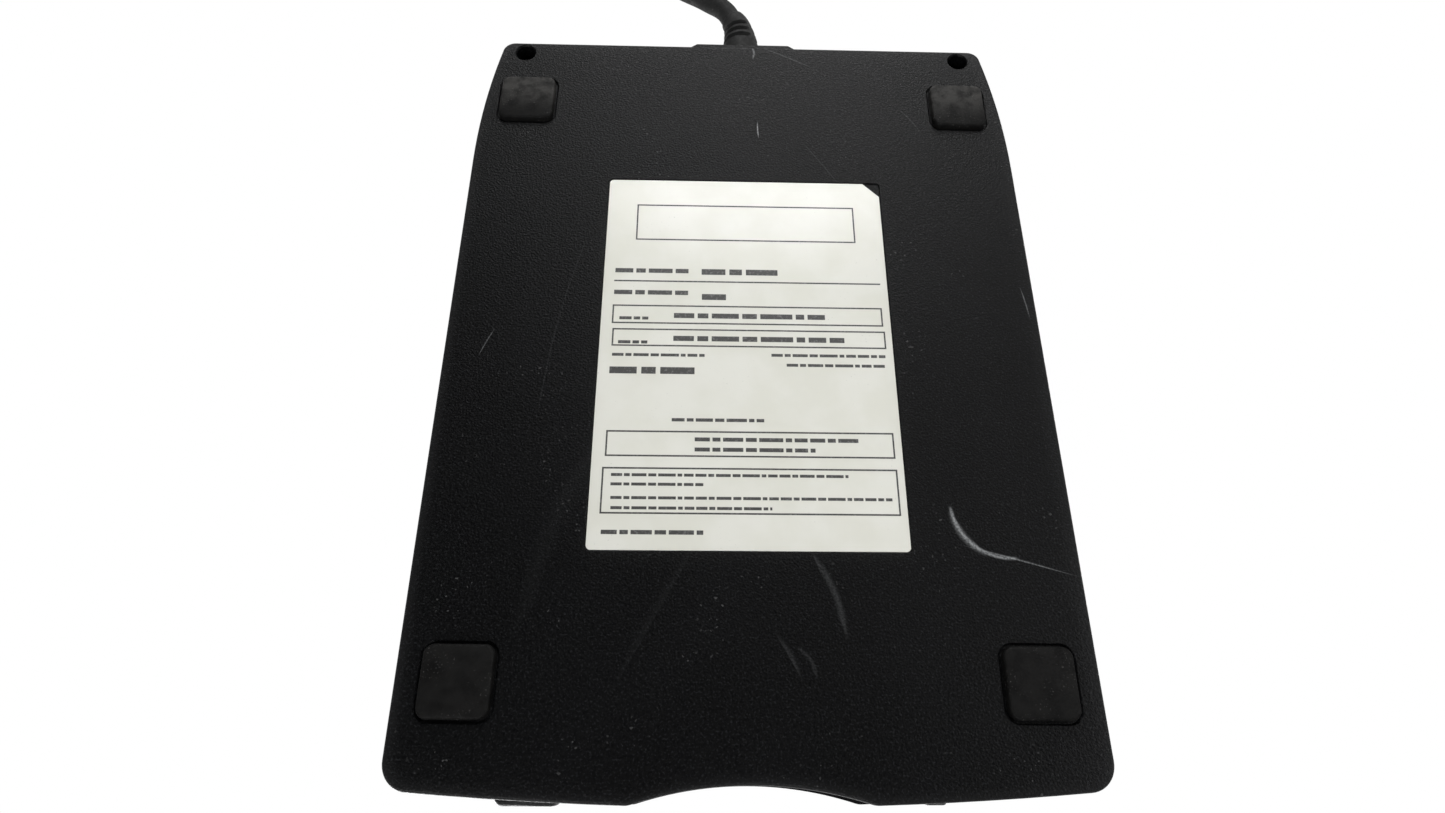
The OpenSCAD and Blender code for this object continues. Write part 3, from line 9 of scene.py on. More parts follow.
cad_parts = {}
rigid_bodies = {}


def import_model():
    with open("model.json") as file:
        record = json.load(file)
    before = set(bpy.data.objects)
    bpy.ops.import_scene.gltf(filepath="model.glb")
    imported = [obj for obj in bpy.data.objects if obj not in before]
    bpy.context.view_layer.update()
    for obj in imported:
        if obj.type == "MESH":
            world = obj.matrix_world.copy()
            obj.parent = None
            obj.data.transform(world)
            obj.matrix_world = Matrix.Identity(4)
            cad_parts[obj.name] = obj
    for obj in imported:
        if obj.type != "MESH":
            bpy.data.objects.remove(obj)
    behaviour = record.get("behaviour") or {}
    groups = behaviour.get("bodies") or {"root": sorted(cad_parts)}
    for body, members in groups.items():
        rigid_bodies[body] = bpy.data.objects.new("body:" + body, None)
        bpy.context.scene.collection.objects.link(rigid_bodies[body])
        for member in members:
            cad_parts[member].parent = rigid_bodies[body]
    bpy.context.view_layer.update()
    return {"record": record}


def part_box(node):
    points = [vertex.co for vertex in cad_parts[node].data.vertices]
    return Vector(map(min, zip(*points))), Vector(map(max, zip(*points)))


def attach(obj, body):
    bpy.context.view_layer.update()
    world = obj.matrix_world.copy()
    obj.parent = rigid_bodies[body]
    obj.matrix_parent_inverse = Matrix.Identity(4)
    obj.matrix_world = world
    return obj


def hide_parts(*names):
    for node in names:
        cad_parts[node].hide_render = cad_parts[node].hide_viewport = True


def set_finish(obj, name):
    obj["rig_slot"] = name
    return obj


# A slim external floppy drive on its feet, seen from below its front edge.
# Meshes are drawn in millimetres and turned into metres when they are made.
MM = 0.001

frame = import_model()

# Camera
PHOTO_WIDTH_PX = 1445
FOCAL_PX = 858.6
SENSOR_MM = 36
CAMERA_AT = (7.69, -70.68, -130.84)
CAMERA_VIEW = Vector((-0.0241, 0.4122, 0.9108)).normalized()
CAMERA_RIGHT = Vector((-0.9996, 0.0003, -0.0266)).normalized()


def placed(name, data):
    made = bpy.data.objects.new(name, data)
    bpy.context.collection.objects.link(made)
    return made


def make_camera():
    camera = bpy.data.cameras.new("camera")
    camera.sensor_width = SENSOR_MM
    camera.lens = SENSOR_MM * FOCAL_PX / PHOTO_WIDTH_PX
    camera.clip_start = 0.005
    holder = placed("camera", camera)
    back = -CAMERA_VIEW
    up = back.cross(CAMERA_RIGHT).normalized()
    turn = Matrix((CAMERA_RIGHT, up, back)).transposed().to_4x4()
    holder.matrix_world = Matrix.Translation(Vector(CAMERA_AT) * MM) @ turn
    bpy.context.scene.camera = holder


make_camera()


# Mesh helpers, in millimetres
BEVEL_ANGLE = 40
BEVEL_SEGMENTS = 2
CORNER_STEPS = 6
TURNED_STEPS = 48


def add_object(name, mesh, body, slot, smooth):
    """Puts a mesh in the scene in metres, smooths it up to an angle and sets its body and slot."""
    mesh.transform(Matrix.Scale(MM, 4))
    mesh.shade_smooth()
    mesh.set_sharp_from_angle(angle=math.radians(smooth))
    made = placed(name, mesh)
    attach(made, body)
    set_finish(made, slot)
    return made


def mesh_from(name, points, faces):
    mesh = bpy.data.meshes.new(name)
    mesh.from_pydata([tuple(p) for p in points], [], faces)
    work = bmesh.new()
    work.from_mesh(mesh)
    bmesh.ops.recalc_face_normals(work, faces=work.faces)
    work.to_mesh(mesh)
    work.free()
    return mesh


def loft(name, loops):
    """Skins loops of equal length and caps the two ends."""
    count = len(loops[0])
    points = [p for loop in loops for p in loop]
    faces = []
    for low in range(0, len(points) - count, count):
        high = low + count
        for k in range(count):
            after = (k + 1) % count
            faces.append((low + k, low + after, high + after, high + k))
    faces.append(tuple(range(count)))
    faces.append(tuple(range(len(points) - count, len(points))))
    return mesh_from(name, points, faces)


def joined(name, meshes):
    work = bmesh.new()
    for mesh in meshes:
        work.from_mesh(mesh)
        bpy.data.meshes.remove(mesh)
    made = bpy.data.meshes.new(name)
    work.to_mesh(made)
    work.free()
    return made


def discard(thing):
    """Removes an object and its mesh."""
    mesh = thing.data
    bpy.data.objects.remove(thing)
    bpy.data.meshes.remove(mesh)


def applied(base):
    """The mesh of an object with its modifiers; the object itself is removed."""
    evaluated = base.evaluated_get(bpy.context.evaluated_depsgraph_get())
    made = bpy.data.meshes.new_from_object(evaluated)
    discard(base)
    return made


def boolean(mesh, tools, operation):
    """Cuts the tool meshes from a mesh, adds them to it or keeps what they share with it."""
    base = placed("base", mesh)
    helpers = [placed("tool", tool) for tool in tools]
    for helper in helpers:
        change = base.modifiers.new("boolean", "BOOLEAN")
        change.operation = operation
        change.object = helper
        change.solver = "EXACT"
    made = applied(base)
    for helper in helpers:
        discard(helper)
    return made


def bevelled(mesh, width):
    """Rounds the edges that are sharper than the bevel angle."""
    base = placed("base", mesh)
    change = base.modifiers.new("bevel", "BEVEL")
    change.width = width
    change.segments = BEVEL_SEGMENTS
    change.limit_method = "ANGLE"
    change.angle_limit = math.radians(BEVEL_ANGLE)
    change.use_clamp_overlap = True
    return applied(base)


def arc(x, y, r, start, end, steps):
    """Points along an arc after its start, in degrees."""
    turns = [math.radians(start + (end - start) * k / steps) for k in range(1, steps + 1)]
    return [(x + r * math.cos(t), y + r * math.sin(t)) for t in turns]


def rounded_rect(x, y, width, length, r):
    points = []
    for quarter, (sx, sy) in enumerate([(1, 1), (-1, 1), (-1, -1), (1, -1)]):
        points += arc(x + sx * (width / 2 - r), y + sy * (length / 2 - r), r,
                      90 * quarter, 90 * quarter + 90, CORNER_STEPS)
    return points


def pad_mesh(name, x, y, width, length, r, rows):
    """A rounded rectangle lofted through rows of height and inset."""
    loops = []
    for z, inset in rows:
        flat = rounded_rect(x, y, width - 2 * inset, length - 2 * inset, r - inset)
        loops.append([(px, py, z) for px, py in flat])
    return loft(name, loops)


def box_mesh(name, low, high):
    xs, ys, zs = zip(low, high)
    points = [(x, y, z) for z in zs for y in ys for x in xs]
    faces = [(0, 1, 3, 2), (4, 5, 7, 6), (0, 1, 5, 4), (2, 3, 7, 6), (0, 2, 6, 4), (1, 3, 7, 5)]
    return mesh_from(name, points, faces)


def turned(places, profile):
    """Turns a profile of radius and height about an upright axis at each place."""
    turns = [2 * math.pi * k / TURNED_STEPS for k in range(TURNED_STEPS)]
    return [loft("turned", [[(x + r * math.cos(t), y + r * math.sin(t), z) for t in turns]
                            for r, z in profile]) for x, y in places]


def millimetres(node):
    low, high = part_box(node)
    return low / MM, high / MM


# Smooth curves and tubes

def limited(value):
    return min(max(value, 0), 1)


def spline(points, steps):
    """A smooth curve through points, with a number of steps between each pair."""
    ends = [points[0] * 2 - points[1]] + points + [points[-1] * 2 - points[-2]]
    line = []
    for a, b, c, d in zip(ends, ends[1:], ends[2:], ends[3:]):
        for k in range(steps):
            t = k / steps
            line.append(0.5 * (2 * b + (c - a) * t + (2 * a - 5 * b + 4 * c - d) * t ** 2
                               + (3 * b - a - 3 * c + d) * t ** 3))
    line.append(points[-1].copy())
    return line


def line_length(line):
    return sum((b - a).length for a, b in zip(line, line[1:]))


def sweep_loops(line, section):
    """Carries a section, a function of the step along the line, without twist."""
    loops = []
    tangent = (line[1] - line[0]).normalized()
    side = tangent.orthogonal().normalized()
    for k, p in enumerate(line):
        ahead = line[min(k + 1, len(line) - 1)]
        behind = line[max(k - 1, 0)]
        tangent = (ahead - behind).normalized()
        side = (side - side.dot(tangent) * tangent).normalized()
        across = tangent.cross(side)
        loops.append([p + side * u + across * v for u, v in section(k)])
    return loops


def round_section(r, sides):
    turns = [2 * math.pi * k / sides for k in range(sides)]
    return [(r * math.cos(t), r * math.sin(t)) for t in turns]


def tube_mesh(name, line, r, sides):
    return loft(name, sweep_loops(line, lambda k: round_section(r, sides)))


# Cable, in the route of the part: from the pad to the coil, round it and on to the plug
CORD_D = 4.5
CORD_Z = 9.2
RELIEF_ROUTE = [(0, 72.6, 9.2), (0, 75.6, 9.2), (0, 78.6, 9.2), (0.1, 81.3, 9.2), (0.4, 83.8, 9.2),
                (0.9, 86, 9.2), (2, 88, 9.1)]
LEAD_POINTS = [(3.1, 90, 9), (4.6, 91.5, 8.9), (6.7, 92.8, 8.8), (9.2, 94.3, 8.6),
               (12.2, 95.7, 8.3), (15.6, 97.1, 7.6), (19.2, 98.3, 6.7), (23, 99.2, 5.5),
               (26.4, 100.1, 4.2), (29.4, 101.3, 3.2)]
TAIL_POINTS = [(5, 162.9, 7.4), (0, 162.8, 6.6), (-3.6, 162.6, 5.6), (-7.4, 161.8, 4.5),
               (-11.2, 160.2, 3.5), (-14.6, 157.9, 3.1), (-17.6, 154.9, 3.3), (-20.1, 151.6, 3.9),
               (-21.6, 149, 3.9)]
COIL_MIDDLE = (19, 132)
COIL_MEAN_R = 26.5
COIL_PITCH = 5
COIL_START = -50
COIL_END = 90
COIL_FULL_TURNS = 3
COIL_TURNS = COIL_FULL_TURNS + (COIL_END - COIL_START) / 360
COIL_LOW = 2.8
COIL_RINGS = 24
CLIMB_TURNS = 0.5


def coil_r(t):
    return COIL_MEAN_R - COIL_PITCH * COIL_TURNS / 4 + COIL_PITCH * abs(t - COIL_TURNS / 2)


def coil_point(t):
    r = coil_r(t)
    rise = limited((t - COIL_TURNS / 2 + CLIMB_TURNS / 2) / CLIMB_TURNS)
    turn = math.radians(COIL_START + 360 * t)
    return Vector((COIL_MIDDLE[0] + r * math.cos(turn),
                   COIL_MIDDLE[1] + r * math.sin(turn),
                   COIL_LOW + COIL_PITCH * rise * rise * (3 - 2 * rise)))


def coil_way(t):
    sliver = 0.001
    return (coil_point(t + sliver) - coil_point(t - sliver)).normalized()


def cable_route():
    rings = math.ceil(COIL_TURNS * COIL_RINGS)
    loops = [coil_point(COIL_TURNS * k / rings) for k in range(rings + 1)]
    head = [coil_point(0) - CORD_D * step * coil_way(0) for step in (2, 1)]
    foot = [coil_point(COIL_TURNS) + CORD_D * step * coil_way(COIL_TURNS) for step in (1, 2)]
    hand = [Vector(p) for p in RELIEF_ROUTE + LEAD_POINTS]
    return hand + head + loops + foot + [Vector(p) for p in TAIL_POINTS]


CORD_STEPS = 4
CORD_LINE = spline(cable_route(), CORD_STEPS)
CORD_SIDES = 20


def make_cable():
    mesh = tube_mesh("cable", CORD_LINE, CORD_D / 2, CORD_SIDES)
    cable = add_object("cable", mesh, "case", "cable_rubber", 50)
    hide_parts("cord_lead", "cord_coil", "cord_tail")
    return cable


# Strain relief: a tapered boot with three pairs of slots across it
RELIEF_ROOT_D = 7.8
RELIEF_TIP_D = 5.2
RELIEF_PLAIN_SHARE = 0.45
RELIEF_GROOVES = (0.47, 0.6, 0.73)
RELIEF_GROOVE_W = 1
RELIEF_GROOVE_DEEP = 0.75
RELIEF_GROOVE_REACH = 1.25
RELIEF_GROOVE_SOFT = 0.5
RELIEF_BRIDGE_FROM = 0.22
RELIEF_BRIDGE_SOFT = 0.12
RELIEF_TIP_ROUND = 0.6
RELIEF_TIP_DROP = 0.45
RELIEF_SIDES = 32
RELIEF_STEPS = 24
NECK_R = 2.9
NECK_END_Y = 72.7
FLANGE_R = 4.2
FLANGE_T = 1.2


def make_strain_relief():
    line = spline([Vector(p) for p in RELIEF_ROUTE], RELIEF_STEPS)
    length = line_length(line)
    along = [0]
    for a, b in zip(line, line[1:]):
        along.append(along[-1] + (b - a).length)

    def section(k):
        share = along[k] / length
        taper = max(0, (share - RELIEF_PLAIN_SHARE) / (1 - RELIEF_PLAIN_SHARE))
        r = (RELIEF_ROOT_D + (RELIEF_TIP_D - RELIEF_ROOT_D) * taper) / 2
        tip = max(0, along[k] - length + RELIEF_TIP_ROUND) / RELIEF_TIP_ROUND
        r -= RELIEF_TIP_DROP * tip * tip
        points = []
        for u, v in round_section(1, RELIEF_SIDES):
            bridge = limited((abs(v) - RELIEF_BRIDGE_FROM) / RELIEF_BRIDGE_SOFT)
            dip = 0
            for place in RELIEF_GROOVES:
                near = abs(along[k] - place * length) / (RELIEF_GROOVE_W / 2)
                edge = limited((RELIEF_GROOVE_REACH - near) / RELIEF_GROOVE_SOFT)
                dip = max(dip, edge * bridge)
            depth = r - RELIEF_GROOVE_DEEP * dip
            points.append((u * depth, v * depth))
        return points

    start = millimetres("strain_relief")[0].y

    def collar(name, end, r):
        straight = [Vector((0, start, CORD_Z)), Vector((0, end, CORD_Z))]
        return tube_mesh(name, straight, r, RELIEF_SIDES)

    boot = loft("strain_relief_boot", sweep_loops(line, section))
    neck = collar("neck", NECK_END_Y, NECK_R)
    flange = collar("flange", start + FLANGE_T, FLANGE_R)
    mesh = joined("strain_relief_boot", [boot, neck, flange])
    relief = add_object("strain_relief_boot", mesh, "case", "cable_rubber", 40)
    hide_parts("strain_relief")
    return relief


# Plug: overmould with a ribbed grip, folded metal shell and contact tongue
PLUG_AT = Vector(TAIL_POINTS[-1])
PLUG_TURN = -30
BOOT_L = 7
BOOT_R = 2.65
BOOT_FLARE = 0.5
BOOT_GROOVES = 4
BOOT_GROOVED = (0.08, 0.92)
BOOT_GROOVE_DEEP = 0.32
BOOT_SUNK = 1
BOOT_SUNK_R = 3
BOOT_STEPS = 28
BOOT_SIDES = 24
PLUG_L = 28
PLUG_W = 15.5
PLUG_H = 7.8
PLUG_R = 1.4
GRIP_STEPS = 56
GRIP_END_ROUND = 0.8
GRIP_END_DROP = 0.7
GRIP_END_CORNER = 0.3
GRIP_WAIST = 0.35
GRIP_RIB = 0.22
GRIP_RIBBED = (0.18, 0.5)
GRIP_RIB_PITCH = 0.064
SHELL_W = 12
SHELL_H = 4.5
SHELL_L = 18.8
SHELL_T = 0.3
SHELL_R = 0.45
SHELL_ROOM_R = 0.25
SHELL_ROOM_FROM = 1.5
SHELL_RIM = 0.15
SHELL_RIM_DROP = 0.08
WINDOWS_X = (-2.35, 2.35)
WINDOW_HALF_W = 1.25
WINDOW_FROM = 6
WINDOW_TO = 8.5
SEAM_HALF_W = 0.05
TONGUE_T = 1.8
TONGUE_GAP = 0.05
TONGUE_SIDE = 0.35
TONGUE_TIP = 0.3
TONGUE_EDGE = 0.12
# Contacts, as their place across and how far their tips stay behind the mouth of the shell
CONTACTS = ((-3.5, 0.9), (-1, 1.9), (1, 1.9), (3.5, 0.9))
CONTACT_HALF_W = 0.5
CONTACT_FROM = 8
CONTACT_PROUD = 0.06
CONTACT_SUNK = 0.05
OVERCUT = 1


def at_plug(mesh):
    """Moves a mesh that was drawn with the plug pointing along -Y to where the plug lies."""
    mesh.transform(Matrix.Translation(PLUG_AT) @ Matrix.Rotation(math.radians(PLUG_TURN), 4, "Z"))
    return mesh


def upright_rect(y, width, height, r):
    return [(x, y, z) for x, z in rounded_rect(0, 0, width, height, r)]


def wave(turns):
    """Rises from 0 to 1 and falls back once in every turn."""
    return 0.5 - 0.5 * math.cos(2 * math.pi * turns)


def boot_mesh():
    rings = []
    for k in range(BOOT_STEPS + 1):
        share = k / BOOT_STEPS
        groove = 0
        if BOOT_GROOVED[0] < share < BOOT_GROOVED[1]:
            groove = BOOT_GROOVE_DEEP * wave(BOOT_GROOVES * share)
        rings.append((-BOOT_L * share, BOOT_R + BOOT_FLARE * share - groove))
    rings.append((-BOOT_L - BOOT_SUNK, BOOT_SUNK_R))
    return loft("boot", [[(x, y, z) for x, z in round_section(r, BOOT_SIDES)] for y, r in rings])


def grip_mesh():
    loops = []
    for k in range(GRIP_STEPS + 1):
        share = k / GRIP_STEPS
        y = -BOOT_L - PLUG_L * k / GRIP_STEPS
        from_end = max(min(y + BOOT_L, 0), min(-(y + BOOT_L + PLUG_L), 0))
        round_off = GRIP_END_DROP * max(0, 1 + from_end / GRIP_END_ROUND) ** 2
        rib = 0
        if GRIP_RIBBED[0] < share < GRIP_RIBBED[1]:
            rib = GRIP_RIB * wave((share - GRIP_RIBBED[0]) / GRIP_RIB_PITCH)
        inset = round_off + GRIP_WAIST * math.sin(math.pi * k / GRIP_STEPS) + rib
        loops.append(upright_rect(y, PLUG_W - 2 * inset, PLUG_H - 2 * (round_off + rib),
                                  PLUG_R - GRIP_END_CORNER * round_off))
    return loft("plug_overmould", loops)


def shell_mesh(start):
    rim = ((0, 0), (SHELL_L - SHELL_RIM, 0), (SHELL_L, SHELL_RIM_DROP))
    outer = [upright_rect(start - d, SHELL_W - 2 * inset, SHELL_H - 2 * inset, SHELL_R)
             for d, inset in rim]
    inner = [upright_rect(start - d, SHELL_W - 2 * SHELL_T, SHELL_H - 2 * SHELL_T, SHELL_ROOM_R)
             for d in (SHELL_ROOM_FROM, SHELL_L + OVERCUT)]
    cutters = [loft("room", inner)]
    for x in WINDOWS_X:
        cutters.append(box_mesh("window", (x - WINDOW_HALF_W, start - WINDOW_TO, -SHELL_H),
                                (x + WINDOW_HALF_W, start - WINDOW_FROM, SHELL_H)))
    cutters.append(box_mesh("seam", (-SEAM_HALF_W, start - SHELL_L - OVERCUT, -SHELL_H),
                            (SEAM_HALF_W, start - SHELL_ROOM_FROM, -OVERCUT)))
    return boolean(loft("plug_metal", outer), cutters, "DIFFERENCE")


def make_plug():
    def piece(name, mesh, slot, smooth):
        return add_object(name, at_plug(mesh), "case", slot, smooth)

    start = -BOOT_L - PLUG_L
    body = piece("plug_overmould", joined("plug_overmould", [grip_mesh(), boot_mesh()]),
                 "cable_rubber", 50)
    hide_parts("plug_body")
    shell = piece("plug_metal", shell_mesh(start), "plug_steel", 35)
    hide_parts("plug_shell")

    top = SHELL_H / 2 - SHELL_T - TONGUE_GAP
    board = box_mesh("plug_tongue_board",
                     (-SHELL_W / 2 + TONGUE_SIDE, start - SHELL_L + TONGUE_TIP, top - TONGUE_T),
                     (SHELL_W / 2 - TONGUE_SIDE, start - SHELL_ROOM_FROM - TONGUE_GAP, top))
    tongue = piece("plug_tongue_board", bevelled(board, TONGUE_EDGE), "mechanism_ivory", 35)
    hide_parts("plug_tongue")
    face = top - TONGUE_T
    fingers = [box_mesh("finger",
                        (x - CONTACT_HALF_W, start - SHELL_L + back, face - CONTACT_PROUD),
                        (x + CONTACT_HALF_W, start - CONTACT_FROM, face + CONTACT_SUNK))
               for x, back in CONTACTS]
    contacts = piece("plug_contacts", joined("plug_contacts", fingers), "sintered_brass", 35)
    return [body, shell, tongue, contacts]


# Tie: a flat band with rounded corners round the coil
TIE_ANGLE = 35
TIE_W = 6
TIE_T = 0.4
TIE_GAP_SIDE = 0.6
TIE_GAP_UP = 0.1
TIE_R = 1.6
TIE_ROOM_R = 1.3
TIE_EDGE = 0.1


def make_tie():
    first = (TIE_ANGLE - COIL_START) / 360
    radii = [coil_r(first + k) for k in range(COIL_FULL_TURNS + 1)]
    near = min(radii) - CORD_D / 2 - TIE_GAP_SIDE
    far = max(radii) + CORD_D / 2 + TIE_GAP_SIDE
    bottom = COIL_LOW - CORD_D / 2 - TIE_GAP_UP
    top = COIL_LOW + COIL_PITCH + CORD_D / 2 + TIE_GAP_UP

    def band(name, grow, r, half):
        flat = rounded_rect((near + far) / 2, (bottom + top) / 2, far - near + 2 * grow,
                            top - bottom + 2 * grow, r)
        return loft(name, [[(x, y, z) for x, z in flat] for y in (-half, half)])

    mesh = boolean(band("cord_band", TIE_T, TIE_R, TIE_W / 2), [band("room", 0, TIE_ROOM_R, TIE_W)],
                   "DIFFERENCE")
    mesh = bevelled(mesh, TIE_EDGE)
    mesh.transform(Matrix.Translation((*COIL_MIDDLE, 0))
                   @ Matrix.Rotation(math.radians(TIE_ANGLE), 4, "Z"))
    tie = add_object("cord_band", mesh, "case", "mechanism_black", 40)
    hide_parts("cord_tie")
    return tie


cable = make_cable()
relief = make_strain_relief()
plug_pieces = make_plug()
tie = make_tie()


# Case outline: arcs that are worked out as in the part, drawn in by an inset
HALF_W = 52.25
FRONT_Y = -72.35
REAR_Y = 71.15
PAD_RISE = 1.4
WALL = 1.8
BOTTOM_Z = 1
FLOOR_Z = 2.6
PARTING_Z = 9.1
UPPER_Z = 9.3
ROOF_Z = 16.8
TOP_Z = 18.4
SCOOP_R = 60
SCOOP_DEPTH = 2.87
BOW_R = 609
LIP_R = 3
FRONT_CORNER_R = 4.2
TAPER_R = 145
TAPER_L = 30.65
REAR_CORNER_R = 2.5
BOTTOM_EDGE_R = 0.5
TOP_EDGE_R = 2
EDGE_STEPS = 8
BEZEL_STEP = 0.6
BEZEL_T = 2
BEZEL_BACK = FRONT_Y + SCOOP_DEPTH + BEZEL_STEP + BEZEL_T


def side_half(inset):
    """Half of the outline from the middle of the scoop round to the rear, at +X."""
    scoop_cy = FRONT_Y + SCOOP_DEPTH - SCOOP_R
    bow_cy = FRONT_Y + BOW_R
    lip_cy = (((SCOOP_R + LIP_R) ** 2 - (BOW_R - LIP_R) ** 2 + bow_cy ** 2 - scoop_cy ** 2)
              / (2 * (bow_cy - scoop_cy)))
    lip_cx = math.sqrt((SCOOP_R + LIP_R) ** 2 - (lip_cy - scoop_cy) ** 2)
    corner_cx = HALF_W - FRONT_CORNER_R
    corner_cy = bow_cy - math.sqrt((BOW_R - FRONT_CORNER_R) ** 2 - corner_cx ** 2)
    taper_y = REAR_Y - TAPER_L
    taper_cx = HALF_W - TAPER_R
    rear_cy = REAR_Y - REAR_CORNER_R
    rear_cx = taper_cx + math.sqrt((TAPER_R - REAR_CORNER_R) ** 2 - (rear_cy - taper_y) ** 2)
    lip_a = math.degrees(math.atan2(lip_cy - scoop_cy, lip_cx))
    bow_a = math.degrees(math.atan2(lip_cy - bow_cy, lip_cx))
    corner_a = math.degrees(math.atan2(corner_cy - bow_cy, corner_cx))
    taper_a = math.degrees(math.atan2(rear_cy - taper_y, rear_cx - taper_cx))
    return (arc(0, scoop_cy, SCOOP_R + inset, 90, lip_a, 14)
            + arc(lip_cx, lip_cy, LIP_R - inset, lip_a - 180, bow_a, 8)
            + arc(0, bow_cy, BOW_R - inset, bow_a, corner_a, 6)
            + arc(corner_cx, corner_cy, FRONT_CORNER_R - inset, corner_a, 0, 12)
            + [(HALF_W - inset, taper_y)]
            + arc(taper_cx, taper_y, TAPER_R - inset, 0, taper_a, 10)
            + arc(rear_cx, rear_cy, REAR_CORNER_R - inset, taper_a, 90, 10))


def outline(inset):
    half = side_half(inset)
    return [(0, FRONT_Y + SCOOP_DEPTH + inset)] + half + [(-x, y) for x, y in reversed(half)]


def skin(name, rows):
    return loft(name, [[(x, y, z) for x, y in outline(inset)] for z, inset in rows])


def edge_rows(z, r, up):
    """Rows that round the edge at a height, from the vertical wall to the flat face."""
    rows = []
    for k in range(EDGE_STEPS + 1):
        a = math.pi / 2 * k / EDGE_STEPS
        rise = r * (1 - math.sin(a))
        rows.append((z - rise if up else z + rise, r * (1 - math.cos(a))))
    return rows


def extruded(name, flat, low, high):
    return loft(name, [[(x, y, low) for x, y in flat], [(x, y, high) for x, y in flat]])


PAD_FOOT_X = 11.5
PAD_FACE_X = 9.5
HOLE_R = 3
HOLE_SIDES = 40
OPENING_X = 47.85


def cable_pad(low, high, chamfer_low, chamfer_high):
    loops = []
    for z, inset in ((low, chamfer_low), (low + chamfer_low, 0),
                     (high - chamfer_high, 0), (high, chamfer_high)):
        half = [(PAD_FACE_X, REAR_Y + PAD_RISE - inset), (PAD_FOOT_X, REAR_Y - inset),
                (PAD_FOOT_X, REAR_Y - WALL / 2)]
        flat = [(-x, y) for x, y in reversed(half)] + half
        loops.append([(x, y, z) for x, y in flat])
    return loft("cable_pad", loops)


def cable_hole():
    line = [Vector((0, y, CORD_Z)) for y in (REAR_Y - 3, REAR_Y + 2)]
    return tube_mesh("hole", line, HOLE_R, HOLE_SIDES)


def front_cut(low, high):
    return box_mesh("front_cut", (-OPENING_X, FRONT_Y - 1, low),
                    (OPENING_X, BEZEL_BACK - BEZEL_STEP, high))


WELLS = [(x, 68.375) for x in (-44.65, 44.65)]
WELL_R = 1.925
WELL_ROOM = ((WELL_R + 0.3, 0.5), (WELL_R + 0.22, 1), (WELL_R, 1.3), (WELL_R, 6.8))
# Faces in the wall, as distance inside the outline: its middle, and the step and tongue at the seam
WALL_MIDDLE = WALL / 2
LIP_WALL = 0.85
LIP_Z = 8
TONGUE_WALL = 0.95
TONGUE_Z = 8.1
SEAM_H = 0.15
SEAM_INSET = 0.12
# Bosses, posts and screw holes, as radius and height
BOSS_LOW = 1.8
WELL_BOSS = ((3.125, BOSS_LOW), (3.125, 8))
POST_TOP = 17.6
POST = ((2.75, TONGUE_Z), (2.75, POST_TOP))
POST_HOLE = ((1.05, 7), (1.05, 15.8))
CHASSIS_SCREWS = [(x, y) for x in (-34, 34) for y in (-41, 21)]
CHASSIS_BOSS = ((2.6, BOSS_LOW), (2.6, 3.2))
BOARD_SCREWS = [(x, y) for x in (-43.5, -18) for y in (40, 59.5)]
BOARD_BOSS = ((2, BOSS_LOW), (2, 4.2))
SCREW_HOLE = ((0.85, 1.85), (0.85, 9))
CASE_SCREW_HOLE = ((1.1, 6), (1.1, 9))
FEET = ("foot_front_left", "foot_front_right", "foot_rear_left", "foot_rear_right")
FOOT_R = 1.7
FOOT_SINK = 0.4
FOOT_PLAY = 0.7
RECESS_R = 2.05
LABEL_Y = 0.24
LABEL_W = 51.3
LABEL_L = 72.1
LABEL_R = 0.8
LABEL_CUT = 3
LABEL_LOW = 1.1
LABEL_T = 0.15
LABEL_PLAY = 0.3
NAME_BED_W = 30
NAME_BED_L = 9
NAME_BED_FROM_FRONT = 14
NAME_BED_Y = FRONT_Y + NAME_BED_FROM_FRONT + NAME_BED_L / 2
NAME_BED_R = 0.8


def within(meshes, low, high):
    """Keeps what doesn't reach beyond the middle of the wall."""
    return [boolean(mesh, [extruded("inside", outline(WALL_MIDDLE), low, high)], "INTERSECT")
            for mesh in meshes]


